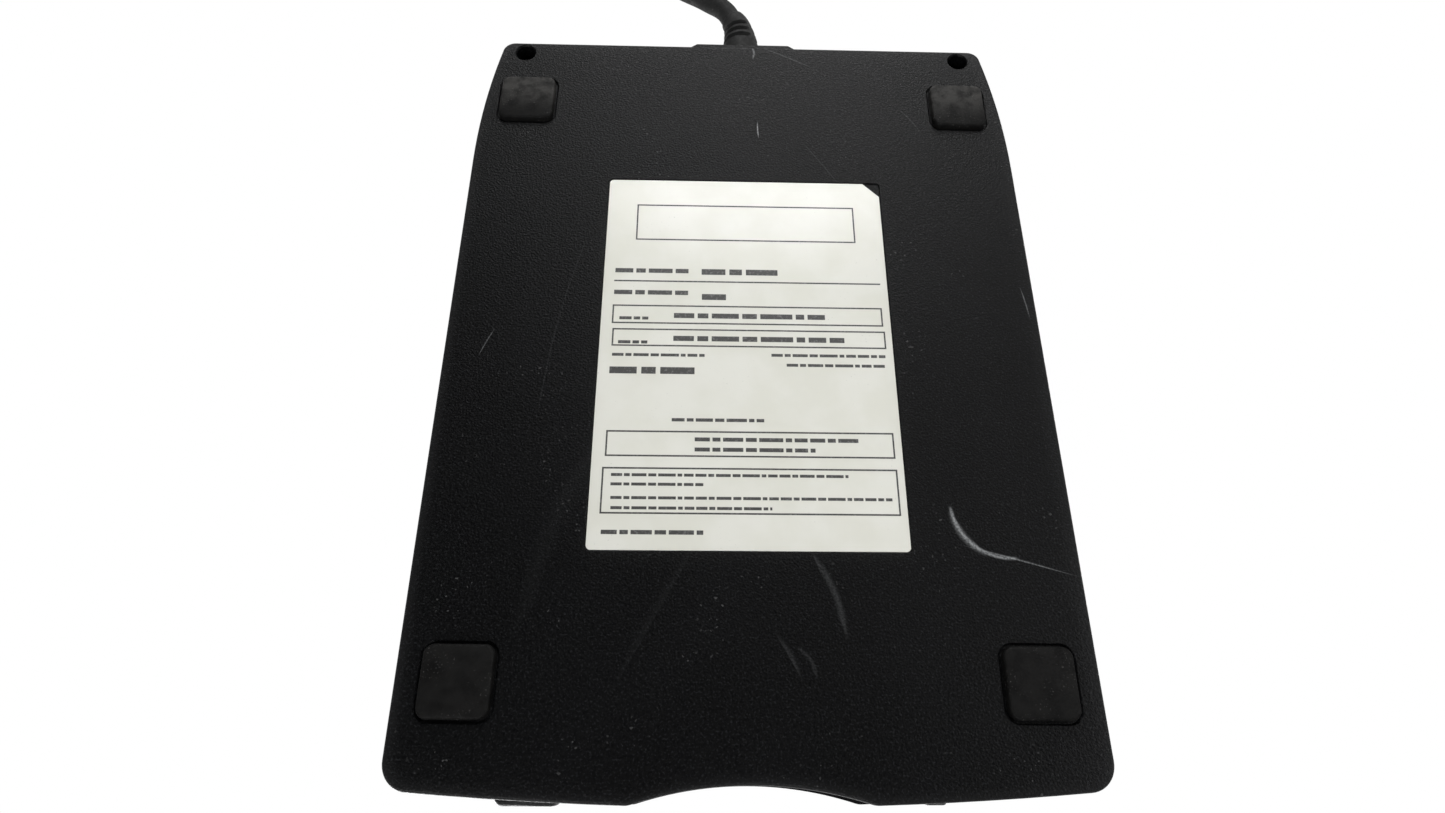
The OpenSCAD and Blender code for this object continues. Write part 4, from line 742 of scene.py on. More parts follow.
def make_bottom_shell():
    shell = skin("bottom_case", list(reversed(edge_rows(BOTTOM_Z, BOTTOM_EDGE_R, False)))
                 + [(PARTING_Z - SEAM_H, 0), (PARTING_Z, SEAM_INSET)])
    shell = boolean(shell, [
        extruded("room", outline(WALL), FLOOR_Z, PARTING_Z + 1),
        extruded("lip", outline(LIP_WALL), LIP_Z, PARTING_Z + 1),
        front_cut(FLOOR_Z, PARTING_Z + 1)], "DIFFERENCE")
    sleeves = within(turned(WELLS, WELL_BOSS), 1, 9)
    bosses = turned(CHASSIS_SCREWS, CHASSIS_BOSS) + turned(BOARD_SCREWS, BOARD_BOSS)
    pad = cable_pad(BOTTOM_Z + BOTTOM_EDGE_R, PARTING_Z, 0.3, 0.1)
    shell = boolean(shell, [pad] + sleeves + bosses, "UNION")
    cuts = [cable_hole()]
    for pair in zip(turned(WELLS, WELL_ROOM), turned(WELLS, CASE_SCREW_HOLE)):
        cuts += pair
    cuts += turned(CHASSIS_SCREWS + BOARD_SCREWS, SCREW_HOLE)
    for foot in FEET:
        low, high = millimetres(foot)
        middle = (low + high) / 2
        side = high.x - low.x + FOOT_PLAY
        cuts.append(pad_mesh("recess", middle.x, middle.y, side, side, RECESS_R,
                             [(0.5, -0.32), (BOTTOM_Z - 0.02, -0.3), (BOTTOM_Z + 0.07, -0.14),
                              (BOTTOM_Z + 0.2, 0), (BOTTOM_Z + FOOT_SINK, 0)]))
    cuts.append(pad_mesh("label_bed", 0, LABEL_Y, LABEL_W + LABEL_PLAY, LABEL_L + LABEL_PLAY,
                         LABEL_R, [(0.5, -0.14), (BOTTOM_Z - 0.02, -0.13), (BOTTOM_Z + 0.08, 0),
                                   (BOTTOM_Z + 0.25, 0)]))
    shell = boolean(shell, cuts, "DIFFERENCE")
    made = add_object("bottom_case", shell, "case", "case_plastic", 24)
    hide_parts("bottom_shell")


def make_top_shell():
    shell = skin("top_case", [(UPPER_Z, SEAM_INSET), (UPPER_Z + SEAM_H, 0)]
                 + edge_rows(TOP_Z, TOP_EDGE_R, True))
    tongue = extruded("tongue", outline(TONGUE_WALL), TONGUE_Z, UPPER_Z + 1)
    shell = boolean(shell, [tongue], "UNION")
    shell = boolean(shell, [extruded("room", outline(WALL), 7, ROOF_Z), front_cut(7, ROOF_Z)],
                    "DIFFERENCE")
    posts = within(turned(WELLS, POST), 8, POST_TOP)
    shell = boolean(shell, [cable_pad(UPPER_Z, TOP_Z - TOP_EDGE_R, 0.1, 0.5)] + posts, "UNION")
    cuts = [cable_hole()] + turned(WELLS, POST_HOLE)
    cuts.append(pad_mesh("name_bed", 0, NAME_BED_Y, NAME_BED_W, NAME_BED_L, NAME_BED_R,
                         [(TOP_Z - 0.3, 0), (TOP_Z - 0.1, 0), (TOP_Z + 0.02, -0.15),
                          (TOP_Z + 0.5, -0.15)]))
    shell = boolean(shell, cuts, "DIFFERENCE")
    made = add_object("top_case", shell, "case", "case_plastic", 24)
    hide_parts("top_shell")


MERGE_MM = 0.001
FLAT_ANGLE = 1


def refined(node, body, slot, width):
    """A CAD piece with its sharp edges rounded."""
    source = bpy.data.objects[node].data.copy()
    source.transform(Matrix.Scale(1 / MM, 4))
    work = bmesh.new()
    work.from_mesh(source)
    bmesh.ops.remove_doubles(work, verts=work.verts, dist=MERGE_MM)
    bmesh.ops.dissolve_limit(work, angle_limit=math.radians(FLAT_ANGLE), verts=work.verts,
                             edges=work.edges)
    work.to_mesh(source)
    work.free()
    mesh = bevelled(source, width)
    mesh.materials.clear()
    made = add_object(node + "_rounded", mesh, body, slot, 30)
    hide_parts(node)


BUTTON_X = 32
BUTTON_Z = 5.8
BUTTON_W = 9.4
BUTTON_H = 3.6
BUTTON_R = 1
BUTTON_EDGE = 0.7
BUTTON_CORNER = 0.7
BUTTON_STEPS = 8
BUTTON_BOW = 0.75
BUTTON_BOW_POWER = 2.6
BUTTON_BACK = BEZEL_BACK + 3.4
STEM_HALF_W = 2
STEM_HALF_H = 0.9
STEM_END = -61
PEG_END = -60
PEG_R = 0.7
PEG_SIDES = 24
SUNK = 0.05


def make_eject_button():
    """The button's face bows out in plan and runs out towards its ends; its edges are round."""
    x, z = BUTTON_X, BUTTON_Z
    tip = millimetres("eject_button")[0].y
    loops = []
    for k in range(BUTTON_STEPS + 1):
        a = math.pi / 2 * k / BUTTON_STEPS
        inset = BUTTON_EDGE * (1 - math.sin(a))
        y = tip + BUTTON_EDGE * (1 - math.cos(a))
        flat = rounded_rect(0, 0, BUTTON_W - 2 * inset, BUTTON_H - 2 * inset,
                            BUTTON_R - BUTTON_CORNER * inset)
        bow = [BUTTON_BOW * abs(px / (BUTTON_W / 2)) ** BUTTON_BOW_POWER for px, pz in flat]
        loops.append([(x + px, y + back, z + pz) for (px, pz), back in zip(flat, bow)])
    loops.append([(x + px, BUTTON_BACK, z + pz)
                  for px, pz in rounded_rect(0, 0, BUTTON_W, BUTTON_H, BUTTON_R)])
    face = loft("button", loops)
    stem = box_mesh("stem", (x - STEM_HALF_W, BUTTON_BACK - SUNK, z - STEM_HALF_H),
                    (x + STEM_HALF_W, STEM_END, z + STEM_HALF_H))
    line = [Vector((x, y, z)) for y in (STEM_END - SUNK, PEG_END)]
    peg = tube_mesh("peg", line, PEG_R, PEG_SIDES)
    mesh = joined("button_cap", [face, stem, peg])
    made = add_object("button_cap", mesh, "eject", "case_plastic", 35)
    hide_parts("eject_button")


# Rounding of the light pipe's tip, as distance from the tip and inset
LENS_ROWS = ((0, 0.3), (0.1, 0.12), (0.3, 0))
LENS_R = 0.4


def make_light_pipe():
    low, high = millimetres("led_light_pipe")
    middle = (low + high) / 2
    width = high.x - low.x
    height = high.z - low.z
    loops = []
    for y, inset in [(low.y + d, inset) for d, inset in LENS_ROWS] + [(high.y, 0)]:
        flat = rounded_rect(0, 0, width - 2 * inset, height - 2 * inset, LENS_R)
        loops.append([(middle.x + px, y, middle.z + pz) for px, pz in flat])
    mesh = loft("light_pipe_lens", loops)
    made = add_object("light_pipe_lens", mesh, "case", "clear_plastic", 40)
    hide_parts("led_light_pipe")


# Rounding of a foot, as height and inset
FOOT_ROWS = [(0, 0.5), (0.06, 0.24), (0.2, 0.07), (0.4, 0)]


def make_foot(node):
    low, high = millimetres(node)
    middle = (low + high) / 2
    side = high.x - low.x
    mesh = pad_mesh(node + "_pad", middle.x, middle.y, side, side, FOOT_R,
                    FOOT_ROWS + [(high.z, 0)])
    made = add_object(node + "_pad", mesh, "case", "foot_rubber", 35)
    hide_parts(node)


def make_label():
    x, y, r = LABEL_W / 2, LABEL_L / 2, LABEL_R
    flat = (arc(x - r, y - r, r, 0, 90, CORNER_STEPS)
            + [(-x + LABEL_CUT, y), (-x, y - LABEL_CUT)]
            + arc(-x + r, -y + r, r, 180, 270, CORNER_STEPS)
            + arc(x - r, -y + r, r, 270, 360, CORNER_STEPS))
    rows = ((LABEL_LOW, 0.04), (LABEL_LOW + 0.03, 0), (LABEL_LOW + LABEL_T, 0))
    loops = [[(px * (1 - inset / x), LABEL_Y + py * (1 - inset / y), z) for px, py in flat]
             for z, inset in rows]
    made = add_object("label_sheet", loft("label_sheet", loops), "case", "label_film", 30)
    # The two large faces stay flat, so their shading is even
    for face in made.data.polygons:
        face.use_smooth = len(face.vertices) == 4
    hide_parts("rating_label")


# Generic print on the label: rules, empty boxes and bars, placed from the middle of the label
PRINT_T = 0.012
PRINT_SUNK = 0.01
LINE_W = 0.28
RULES = (((-24.4, 13.46), (23.7, 13.46)),)
BOXES = (((-24.3, 4.66), (23.7, 8.46)), ((-24.5, 0.16), (23.5, 3.66)),
         ((-24.4, -20.34), (23.5, -15.74)), ((-24.5, -30.14), (23.8, -22.24)),
         ((-20.5, 22.36), (20.2, 30.36)))
# Bars, as left end, right end, middle and height
BARS = ((9.7, 23.6, 15.66, 0.9), (-6.4, 8, 15.56, 1.2), (9.6, 23.6, 11.06, 0.9),
        (2.6, 7.9, 10.26, 1.2), (17.3, 22.4, 5.76, 0.6), (-14.6, 12.8, 6.36, 1),
        (17.3, 22.4, 0.96, 0.6), (-17.2, 12.8, 1.76, 1), (7.3, 23.3, -1.54, 0.55),
        (-24.2, -4.3, -1.34, 0.55), (-24.1, -6.9, -3.24, 0.55), (9, 23.6, -4.54, 1.3),
        (-2.8, 12.7, -13.74, 0.6), (-18.6, 8.8, -17.24, 0.7), (-11.2, 8.8, -19.04, 0.7),
        (-16.4, 22.3, -23.54, 0.5), (7.3, 22.3, -25.14, 0.5), (-23.3, 22.2, -27.44, 0.5),
        (-3.8, 22.1, -29.14, 0.5), (7.2, 23.4, -33.14, 0.7))
# Lengths of the pieces that a bar is cut into and the gap between them, in heights of the bar
BAR_PIECES = (3.6, 1.9, 4.8, 2.6, 5.7, 1.5, 3.1)
BAR_GAP = 0.6


def bar_pieces(left, right, height):
    """Cuts a bar into pieces of uneven length, from its right end on."""
    at = right
    for length in itertools.cycle(BAR_PIECES):
        end = max(left, at - height * length)
        if at - end > height / 2:
            yield end, at
        at = end - BAR_GAP * height
        if at <= left:
            return


def make_label_print():
    strips = []

    def strip(x0, y0, x1, y1):
        strips.append(box_mesh("strip", (x0, LABEL_Y + y0, LABEL_LOW - PRINT_T),
                               (x1, LABEL_Y + y1, LABEL_LOW + PRINT_SUNK)))

    for (x0, y0), (x1, y1) in RULES:
        strip(x0, y0 - LINE_W / 2, x1, y0 + LINE_W / 2)
    for (x0, y0), (x1, y1) in BOXES:
        strip(x0, y0, x1, y0 + LINE_W)
        strip(x0, y1 - LINE_W, x1, y1)
        strip(x0, y0 + LINE_W, x0 + LINE_W, y1 - LINE_W)
        strip(x1 - LINE_W, y0 + LINE_W, x1, y1 - LINE_W)
    for x0, x1, y, height in BARS:
        for low, high in bar_pieces(x0, x1, height):
            strip(low, y - height / 2, high, y + height / 2)
    add_object("label_print", joined("label_print", strips), "case", "mechanism_black", 30)


make_bottom_shell()
make_top_shell()
refined("front_bezel", "case", "case_plastic", 0.15)
refined("dust_door", "door", "case_plastic", 0.1)
make_eject_button()
make_light_pipe()
for foot in FEET:
    make_foot(foot)
make_label()
make_label_print()


# Materials
MARK_FADE = 0.3


class Surface:
    """A principled material with helpers for its nodes; places are in metres on the object."""

    def __init__(self, name, colour, roughness, metallic=0, specular=0.5):
        self.material = bpy.data.materials.new(name)
        self.material.use_nodes = True
        self.material.diffuse_color = (*colour, 1)
        self.nodes = self.material.node_tree.nodes
        self.links = self.material.node_tree.links
        self.shader = self.nodes["Principled BSDF"]
        for socket, value in (("Base Color", (*colour, 1)), ("Roughness", roughness),
                              ("Metallic", metallic), ("Specular IOR Level", specular)):
            self.shader.inputs[socket].default_value = value
        self.place = self.nodes.new("ShaderNodeTexCoord").outputs["Object"]

    def add(self, kind, **inputs):
        made = self.nodes.new(kind)
        for key, value in inputs.items():
            self.feed(made.inputs[key.replace("_", " ")], value)
        return made

    def feed(self, socket, value):
        if isinstance(value, bpy.types.NodeSocket):
            self.links.new(value, socket)
        else:
            socket.default_value = value

    def noise(self, size_mm, detail, stretch=(1, 1, 1)):
        place = self.add("ShaderNodeMapping", Vector=self.place, Scale=stretch).outputs["Vector"]
        made = self.add("ShaderNodeTexNoise", Vector=place, Scale=1 / (size_mm * MM), Detail=detail)
        return made.outputs["Fac"]

    def ramp(self, value, low, high, to_low=0.0, to_high=1.0):
        made = self.add("ShaderNodeMapRange", Value=value)
        made.interpolation_type = "SMOOTHSTEP"
        for name, number in (("From Min", low), ("From Max", high),
                             ("To Min", to_low), ("To Max", to_high)):
            made.inputs[name].default_value = number
        return made.outputs["Result"]

    def math(self, operation, a, b=0.0):
        made = self.nodes.new("ShaderNodeMath")
        made.operation = operation
        self.feed(made.inputs[0], a)
        self.feed(made.inputs[1], b)
        return made.outputs["Value"]

    def mix(self, factor, a, b):
        made = self.nodes.new("ShaderNodeMix")
        made.data_type = "RGBA"
        self.feed(made.inputs[0], factor)
        self.feed(made.inputs[6], a)
        self.feed(made.inputs[7], b)
        return made.outputs[2]

    def colour(self, socket):
        self.links.new(socket, self.shader.inputs["Base Color"])

    def roughness(self, socket):
        self.links.new(socket, self.shader.inputs["Roughness"])

    def bump(self, height, distance_mm, strength, under=None):
        made = self.add("ShaderNodeBump", Height=height, Strength=strength,
                        Distance=distance_mm * MM)
        if under is not None:
            self.links.new(under, made.inputs["Normal"])
        self.links.new(made.outputs["Normal"], self.shader.inputs["Normal"])
        return made.outputs["Normal"]

    def vector(self, operation, a, b=None):
        made = self.nodes.new("ShaderNodeVectorMath")
        made.operation = operation
        self.feed(made.inputs[0], a)
        if b is not None:
            self.feed(made.inputs[1], b)
        return made.outputs["Value" if operation in ("LENGTH", "DOT_PRODUCT") else "Vector"]

    def arc_mark(self, start, middle, end, width):
        """A thin mark on the arc through three points in the XY plane that fades at its ends."""
        centre, r, turn, half = circle_through(start, middle, end)
        flat = self.vector("MULTIPLY", self.place, (1 / MM, 1 / MM, 0))
        away = self.vector("SUBTRACT", flat, (*centre, 0))
        off = self.math("ABSOLUTE", self.math("SUBTRACT", self.vector("LENGTH", away), r))
        line = self.ramp(off, 0, width, 1, 0)
        along = self.vector("DOT_PRODUCT", away, (math.cos(turn) / r, math.sin(turn) / r, 0))
        near = math.cos(half)
        return self.math("MULTIPLY", line, self.ramp(along, near, near + (1 - near) * MARK_FADE))


def circle_through(start, middle, end):
    """Centre and radius of a circle, and the direction and half angle of the arc, in radians."""
    (ax, ay), (bx, by), (cx, cy) = start, middle, end
    d = 2 * (ax * (by - cy) + bx * (cy - ay) + cx * (ay - by))
    a, b, c = ax * ax + ay * ay, bx * bx + by * by, cx * cx + cy * cy
    x = (a * (by - cy) + b * (cy - ay) + c * (ay - by)) / d
    y = (a * (cx - bx) + b * (ax - cx) + c * (bx - ax)) / d
    r = math.hypot(ax - x, ay - y)
    turn = math.atan2(by - y, bx - x)
    half = max(abs(math.remainder(math.atan2(py - y, px - x) - turn, 2 * math.pi))
               for px, py in (start, end))
    return (x, y), r, turn, half


def grey(level, tint=(1, 1, 1)):
    return tuple(level * t for t in tint) + (1,)


def shade(colour, factor):
    return tuple(min(c * factor, 1) for c in colour) + (1,)


# Scratches and smears below, as start, middle, end, width and strength
SCRATCHES = (((-32.6, -28), (-35.6, -34.6), (-41.2, -36.7), 0.42, 0.6),
             ((-38.6, -36), (-42.4, -37), (-46.2, -38.1), 0.3, 0.4),
             ((-32.9, -29.8), (-34.2, -33.2), (-36.8, -35.4), 0.9, 0.3),
             ((-2.8, 50.4), (-2.75, 49.1), (-2.9, 47.8), 0.25, 0.8),
             ((-10.9, -38.1), (-13.1, -42.3), (-14.2, -48.4), 0.8, 0.07),
             ((-4.5, -49.8), (-5.9, -51.7), (-6.8, -53.9), 0.7, 0.05),
             ((-7.6, -51), (-9, -52.4), (-9.6, -54.8), 0.5, 0.04),
             ((-31.7, 54.5), (-33.3, 52.4), (-34.7, 49.9), 0.2, 0.09),
             ((-12.1, 45.1), (-15, 40.9), (-17.6, 36.7), 0.2, 0.05),
             ((-4.8, 70.6), (-8.5, 68.8), (-12, 66.9), 0.3, 0.16),
             ((-1.9, 70.8), (-2.3, 69.5), (-2.1, 68.5), 0.35, 0.4),
             ((-50, 12.5), (-50.4, 10.2), (-50.6, 7.9), 0.2, 0.35),
             ((44.2, 2.7), (45.1, 0.8), (45.8, -1.2), 0.2, 0.25),
             ((10.6, -39.3), (13.7, -44.5), (16.4, -49.9), 1.6, 0.012),
             ((20, -12.4), (29, -26.4), (34, -47.4), 2.4, 0.008),
             ((30, 19.6), (33, 5.6), (35, -12.4), 0.2, 0.03))


def case_plastic(worn):
    """Black moulded plastic with a fine spark-eroded grain, dust in it and scratches below."""
    s = Surface("case_plastic_worn" if worn else "case_plastic", (0.004, 0.0042, 0.0046), 0.5,
                specular=0.15)
    cloud = s.noise(22, 3)
    body = s.mix(s.ramp(cloud, 0.35, 0.65),
                 grey(0.0012, (0.94, 1, 1.2)), grey(0.002, (0.94, 1, 1.18)))
    speck = s.noise(0.34, 1)
    body = s.mix(s.ramp(speck, 0.54, 0.74, 0, 0.6), body, grey(0.02, (0.94, 1, 1.1)))
    dust = s.math("MULTIPLY", s.ramp(s.noise(0.55, 0), 0.75, 0.8),
                  s.ramp(s.noise(12, 2), 0.52, 0.7))
    body = s.mix(s.math("MULTIPLY", dust, 0.22), body, grey(0.25))
    if worn:
        broken = s.ramp(s.noise(0.35, 3), 0.36, 0.58, 0.45, 1)
        for start, middle, end, width, strength in SCRATCHES:
            mark = s.math("MULTIPLY", s.arc_mark(start, middle, end, width), broken)
            body = s.mix(s.math("MULTIPLY", mark, strength), body, grey(0.42, (0.97, 1, 1.02)))
    s.colour(body)
    s.roughness(s.ramp(s.noise(0.5, 2), 0.35, 0.65, 0.4, 0.54))
    grain = s.bump(s.noise(0.36, 1), 0.09, 1)
    s.bump(s.noise(1.3, 2), 0.02, 0.5, under=grain)
    return s.material


def rubber(name, level, size_mm=0.4, dusty=False):
    s = Surface(name, (level, level, level * 1.03), 0.6, specular=0.12)
    cloud = s.mix(s.ramp(s.noise(3, 3), 0.35, 0.65), grey(level * 0.85), grey(level * 1.25))
    dust = s.math("MULTIPLY", s.ramp(s.noise(0.35, 2), 0.6, 0.75),
                  s.ramp(s.noise(5, 2), 0.45, 0.65))
    cloud = s.mix(s.math("MULTIPLY", dust, 0.35), cloud, grey(0.2, (1, 0.98, 0.95)))
    if dusty:
        # The rear feet carry dust that was rubbed in towards the rear wall
        y = s.vector("DOT_PRODUCT", s.place, (0, 1 / MM, 0))
        film = s.math("MULTIPLY", s.ramp(y, 51.5, 59, 0.1, 1),
                      s.ramp(s.noise(2.4, 4), 0.3, 0.62, 0.2, 1))
        cloud = s.mix(s.math("MULTIPLY", film, 0.16), cloud, grey(0.3, (1, 0.97, 0.92)))
    s.colour(cloud)
    s.roughness(s.ramp(s.noise(size_mm, 2), 0.3, 0.7, 0.52, 0.75))
    s.bump(s.noise(size_mm, 3), 0.03, 0.7)
    return s.material


def plain_plastic(name, colour, roughness):
    s = Surface(name, colour, roughness)
    s.colour(s.mix(s.ramp(s.noise(4, 3), 0.35, 0.65), shade(colour, 0.92), shade(colour, 1.06)))
    s.roughness(s.ramp(s.noise(0.6, 2), 0.3, 0.7, roughness * 0.85, roughness * 1.15))
    s.bump(s.noise(0.5, 2), 0.008, 0.5)
    return s.material


def metal(name, colour, roughness, stretch=(1, 1, 1), size_mm=0.4):
    s = Surface(name, colour, roughness, metallic=1)
    lines = s.noise(size_mm, 2, stretch)
    s.colour(s.mix(s.ramp(s.noise(6, 3), 0.3, 0.7), shade(colour, 0.88), shade(colour, 1.06)))
    s.roughness(s.ramp(lines, 0.3, 0.7, roughness * 0.75, roughness * 1.3))
    s.bump(lines, 0.006, 0.4)
    return s.material


def label_film():
    s = Surface("label_film", (0.8, 0.805, 0.76), 0.18, specular=0.9)
    paper = s.mix(s.ramp(s.noise(9, 3), 0.35, 0.65),
                  grey(0.78, (1, 1, 0.9)), grey(0.82, (1, 1, 0.92)))
    dirt = s.math("MULTIPLY", s.ramp(s.noise(0.4, 1), 0.72, 0.8),
                  s.ramp(s.noise(9, 1), 0.5, 0.65))
    s.colour(s.mix(s.math("MULTIPLY", dirt, 0.3), paper, grey(0.3)))
    s.roughness(s.ramp(s.noise(1.5, 2), 0.3, 0.7, 0.15, 0.2))
    s.bump(s.noise(2.5, 2), 0.006, 0.4)
    return s.material


def label_ink():
    s = Surface("label_ink", (0.05, 0.05, 0.055), 0.45)
    s.colour(s.mix(s.ramp(s.noise(0.5, 2), 0.5, 0.75, 0, 0.35), grey(0.045), grey(0.3)))
    return s.material


def clear_plastic(name, colour, roughness):
    s = Surface(name, colour, roughness)
    s.shader.inputs["Transmission Weight"].default_value = 0.85
    s.shader.inputs["IOR"].default_value = 1.5
    s.roughness(s.ramp(s.noise(0.8, 2), 0.3, 0.7, roughness * 0.7, roughness * 1.4))
    return s.material


def circuit_board():
    s = Surface("board_green", (0.02, 0.13, 0.05), 0.35)
    weave = s.noise(0.4, 0, (1, 0.25, 1))
    tracks = s.ramp(s.noise(2.4, 0, (1, 0.15, 1)), 0.49, 0.52)
    s.colour(s.mix(s.math("MULTIPLY", tracks, 0.5),
                   grey(1, (0.015, 0.11, 0.045)), grey(1, (0.03, 0.2, 0.08))))
    s.bump(weave, 0.004, 0.4)
    return s.material


def magnet_ferrite():
    s = Surface("magnet", (0.06, 0.06, 0.062), 0.6, metallic=0.4)
    s.colour(s.mix(s.ramp(s.noise(0.6, 3), 0.4, 0.6), grey(0.045), grey(0.09)))
    s.bump(s.noise(0.4, 3), 0.02, 0.6)
    return s.material


def winding():
    s = Surface("winding", (0.45, 0.16, 0.05), 0.3, metallic=0.9)
    strands = s.noise(0.3, 0, (1, 1, 6))
    s.colour(s.mix(s.ramp(strands, 0.4, 0.6),
                   grey(1, (0.3, 0.1, 0.035)), grey(1, (0.6, 0.24, 0.08))))
    s.bump(strands, 0.04, 0.6)
    return s.material


WORN_CASE = case_plastic(True)
SLOT_MATERIALS = {
    "case_plastic": case_plastic(False),
    "foot_rubber": rubber("foot_rubber", 0.0038, dusty=True),
    "cable_rubber": rubber("cable_rubber", 0.021, 0.6),
    "label_film": label_film(),
    "clear_plastic": clear_plastic("clear_plastic", (0.12, 0.13, 0.13), 0.12),
    "led_plastic": clear_plastic("led_plastic", (0.3, 0.7, 0.25), 0.15),
    "magnet": magnet_ferrite(),
    "winding": winding(),
    "board_green": circuit_board(),
}
for look in (("sheet_steel", (0.62, 0.63, 0.64), 0.32, (1, 0.08, 1)),
             ("screw_steel", (0.12, 0.12, 0.13), 0.4),
             ("spring_steel", (0.5, 0.51, 0.53), 0.25),
             ("turned_steel", (0.66, 0.67, 0.68), 0.16),
             ("sintered_brass", (0.8, 0.58, 0.25), 0.35),
             ("motor_can", (0.6, 0.6, 0.59), 0.3),
             ("capacitor_can", (0.7, 0.7, 0.72), 0.22),
             ("plug_steel", (0.68, 0.69, 0.7), 0.2, (1, 1, 1), 0.8)):
    SLOT_MATERIALS[look[0]] = metal(*look)
for look in (("chip_black", (0.025, 0.025, 0.028), 0.5),
             ("mechanism_black", (0.03, 0.03, 0.033), 0.45),
             ("head_ceramic", (0.09, 0.09, 0.1), 0.15),
             ("mechanism_ivory", (0.72, 0.68, 0.57), 0.35),
             ("ribbon", (0.72, 0.72, 0.68), 0.3)):
    SLOT_MATERIALS[look[0]] = plain_plastic(*look)
INK = label_ink()


def dress(thing, material):
    thing.data.materials.clear()
    thing.data.materials.append(material)


for row in frame["record"]["subparts"]:
    dress(bpy.data.objects[row["node"]], SLOT_MATERIALS[row["material_slot"]])
for thing in bpy.data.objects:
    if "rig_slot" in thing:
        dress(thing, SLOT_MATERIALS[thing["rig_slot"]])
dress(bpy.data.objects["bottom_case"], WORN_CASE)
dress(bpy.data.objects["label_print"], INK)


# Floor, world and lamps
FLOOR_HALF = 3
FLOOR_DROP = 0.0001
FLOOR_PALE = 0.86
# The floor's underside is a painted shade, dark where the top is pale, for what reflects it from
# below
FLOOR_BELOW_PAINTED_SHADE = 0.06
FLOOR_WHITE_FROM = 0.3
FLOOR_WHITE_TO = 1.1
AMBIENT = 0.15
# Lamps, as name, place, aim, diameter and power, in metres and watts
LAMPS = (("room_window", (-0.05, 0.67, -0.43), (0, 0, 0), 0.62, 3.4),
         ("ceiling_below", (-0.25, 0.55, -0.85), (0, 0, 0), 0.9, 1.1),
         ("front_fill", (0.25, -0.64, -0.46), (0, 0, 0), 0.5, 3),
         ("side_glow", (-0.57, 0, -0.5), (0, 0, 0), 0.5, 1.7),
         ("key_above", (0.45, -0.5, 0.8), (0, 0.02, 0), 0.6, 9),
         ("fill_above", (-0.6, 0.4, 0.7), (0, 0.02, 0), 0.8, 6))


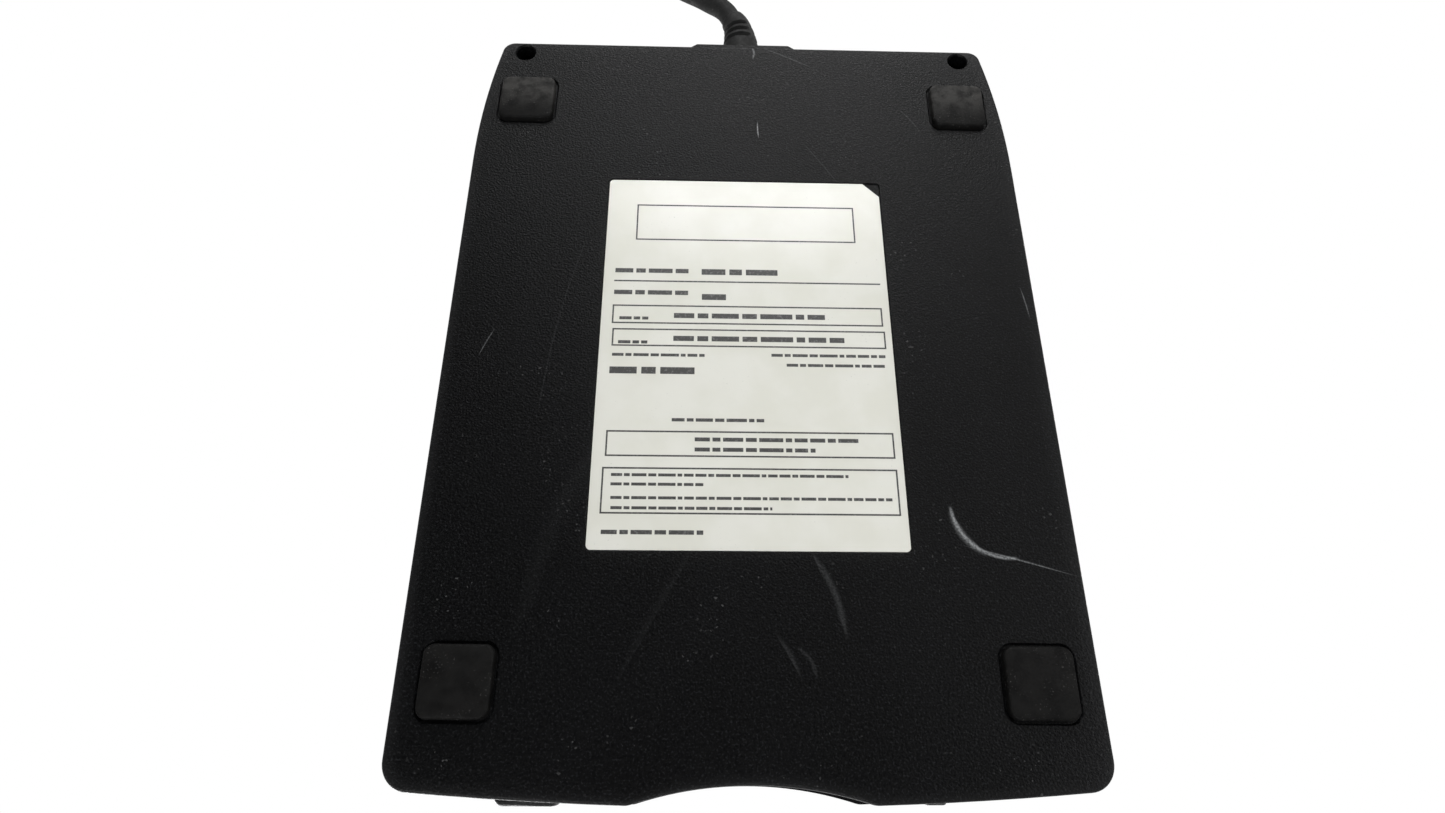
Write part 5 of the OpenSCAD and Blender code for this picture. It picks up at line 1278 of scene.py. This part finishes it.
def make_floor():
    """A pale floor, white further out; the camera sees it only from above, and glossy and
    transmission rays also see its underside, which is a painted shade.
    """
    mesh = bpy.data.meshes.new("floor")
    size = FLOOR_HALF
    mesh.from_pydata([(-size, -size, 0), (size, -size, 0), (size, size, 0), (-size, size, 0)], [],
                     [(0, 1, 2, 3)])
    floor = placed("floor", mesh)
    floor.location.z = -FLOOR_DROP
    material = bpy.data.materials.new("floor")
    material.use_nodes = True
    nodes = material.node_tree.nodes
    links = material.node_tree.links
    nodes.remove(nodes["Principled BSDF"])

    def number(operation, a, b):
        made = nodes.new("ShaderNodeMath")
        made.operation = operation
        for socket, value in zip(made.inputs, (a, b)):
            if isinstance(value, bpy.types.NodeSocket):
                links.new(value, socket)
            else:
                socket.default_value = value
        return made.outputs["Value"]

    def diffuse(level):
        made = nodes.new("ShaderNodeBsdfDiffuse")
        made.inputs["Color"].default_value = grey(level)
        return made.outputs[0]

    def mixed(factor, a, b):
        made = nodes.new("ShaderNodeMixShader")
        for socket, value in zip(made.inputs, (factor, a, b)):
            links.new(value, socket)
        return made.outputs[0]

    path = nodes.new("ShaderNodeLightPath")
    side = nodes.new("ShaderNodeNewGeometry")
    from_above = number("SUBTRACT", 1, side.outputs["Backfacing"])
    seen = number("MULTIPLY", path.outputs["Is Camera Ray"], from_above)
    seen = number("MAXIMUM", seen, path.outputs["Is Glossy Ray"])
    seen = number("MAXIMUM", seen, path.outputs["Is Transmission Ray"])
    place = nodes.new("ShaderNodeTexCoord")
    length = nodes.new("ShaderNodeVectorMath")
    length.operation = "LENGTH"
    links.new(place.outputs["Object"], length.inputs[0])
    far = nodes.new("ShaderNodeMapRange")
    far.interpolation_type = "SMOOTHSTEP"
    far.inputs["From Min"].default_value = FLOOR_WHITE_FROM
    far.inputs["From Max"].default_value = FLOOR_WHITE_TO
    links.new(length.outputs["Value"], far.inputs["Value"])
    white = nodes.new("ShaderNodeEmission").outputs[0]
    clear = nodes.new("ShaderNodeBsdfTransparent").outputs[0]
    ground = mixed(far.outputs["Result"], diffuse(FLOOR_PALE), white)
    # Seen from below, the floor is a painted shade
    pale_top_shaded_underside = mixed(from_above, diffuse(FLOOR_BELOW_PAINTED_SHADE), ground)
    links.new(mixed(seen, clear, pale_top_shaded_underside), nodes["Material Output"].inputs["Surface"])
    mesh.materials.append(material)


def make_world():
    world = bpy.data.worlds.new("world")
    world.use_nodes = True
    nodes = world.node_tree.nodes
    links = world.node_tree.links
    path = nodes.new("ShaderNodeLightPath")
    seen = path.outputs["Is Camera Ray"]
    for name in ("Is Glossy Ray", "Is Transmission Ray"):
        larger = nodes.new("ShaderNodeMath")
        larger.operation = "MAXIMUM"
        links.new(seen, larger.inputs[0])
        links.new(path.outputs[name], larger.inputs[1])
        seen = larger.outputs["Value"]
    strength = nodes.new("ShaderNodeMapRange")
    strength.inputs["To Min"].default_value = AMBIENT
    links.new(seen, strength.inputs["Value"])
    links.new(strength.outputs["Result"], nodes["Background"].inputs["Strength"])
    nodes["Background"].inputs["Color"].default_value = (1, 1, 1, 1)
    bpy.context.scene.world = world


def make_lamp(name, at, aim, size, power):
    lamp = bpy.data.lights.new(name, "AREA")
    lamp.cycles.use_multiple_importance_sampling = False
    lamp.shape = "DISK"
    lamp.size = size
    lamp.energy = power
    holder = placed(name, lamp)
    holder.location = at
    holder.rotation_euler = (Vector(aim) - Vector(at)).to_track_quat("-Z", "Y").to_euler()


make_floor()
make_world()
for lamp in LAMPS:
    make_lamp(*lamp)

bpy.context.scene.view_settings.view_transform = "Standard"
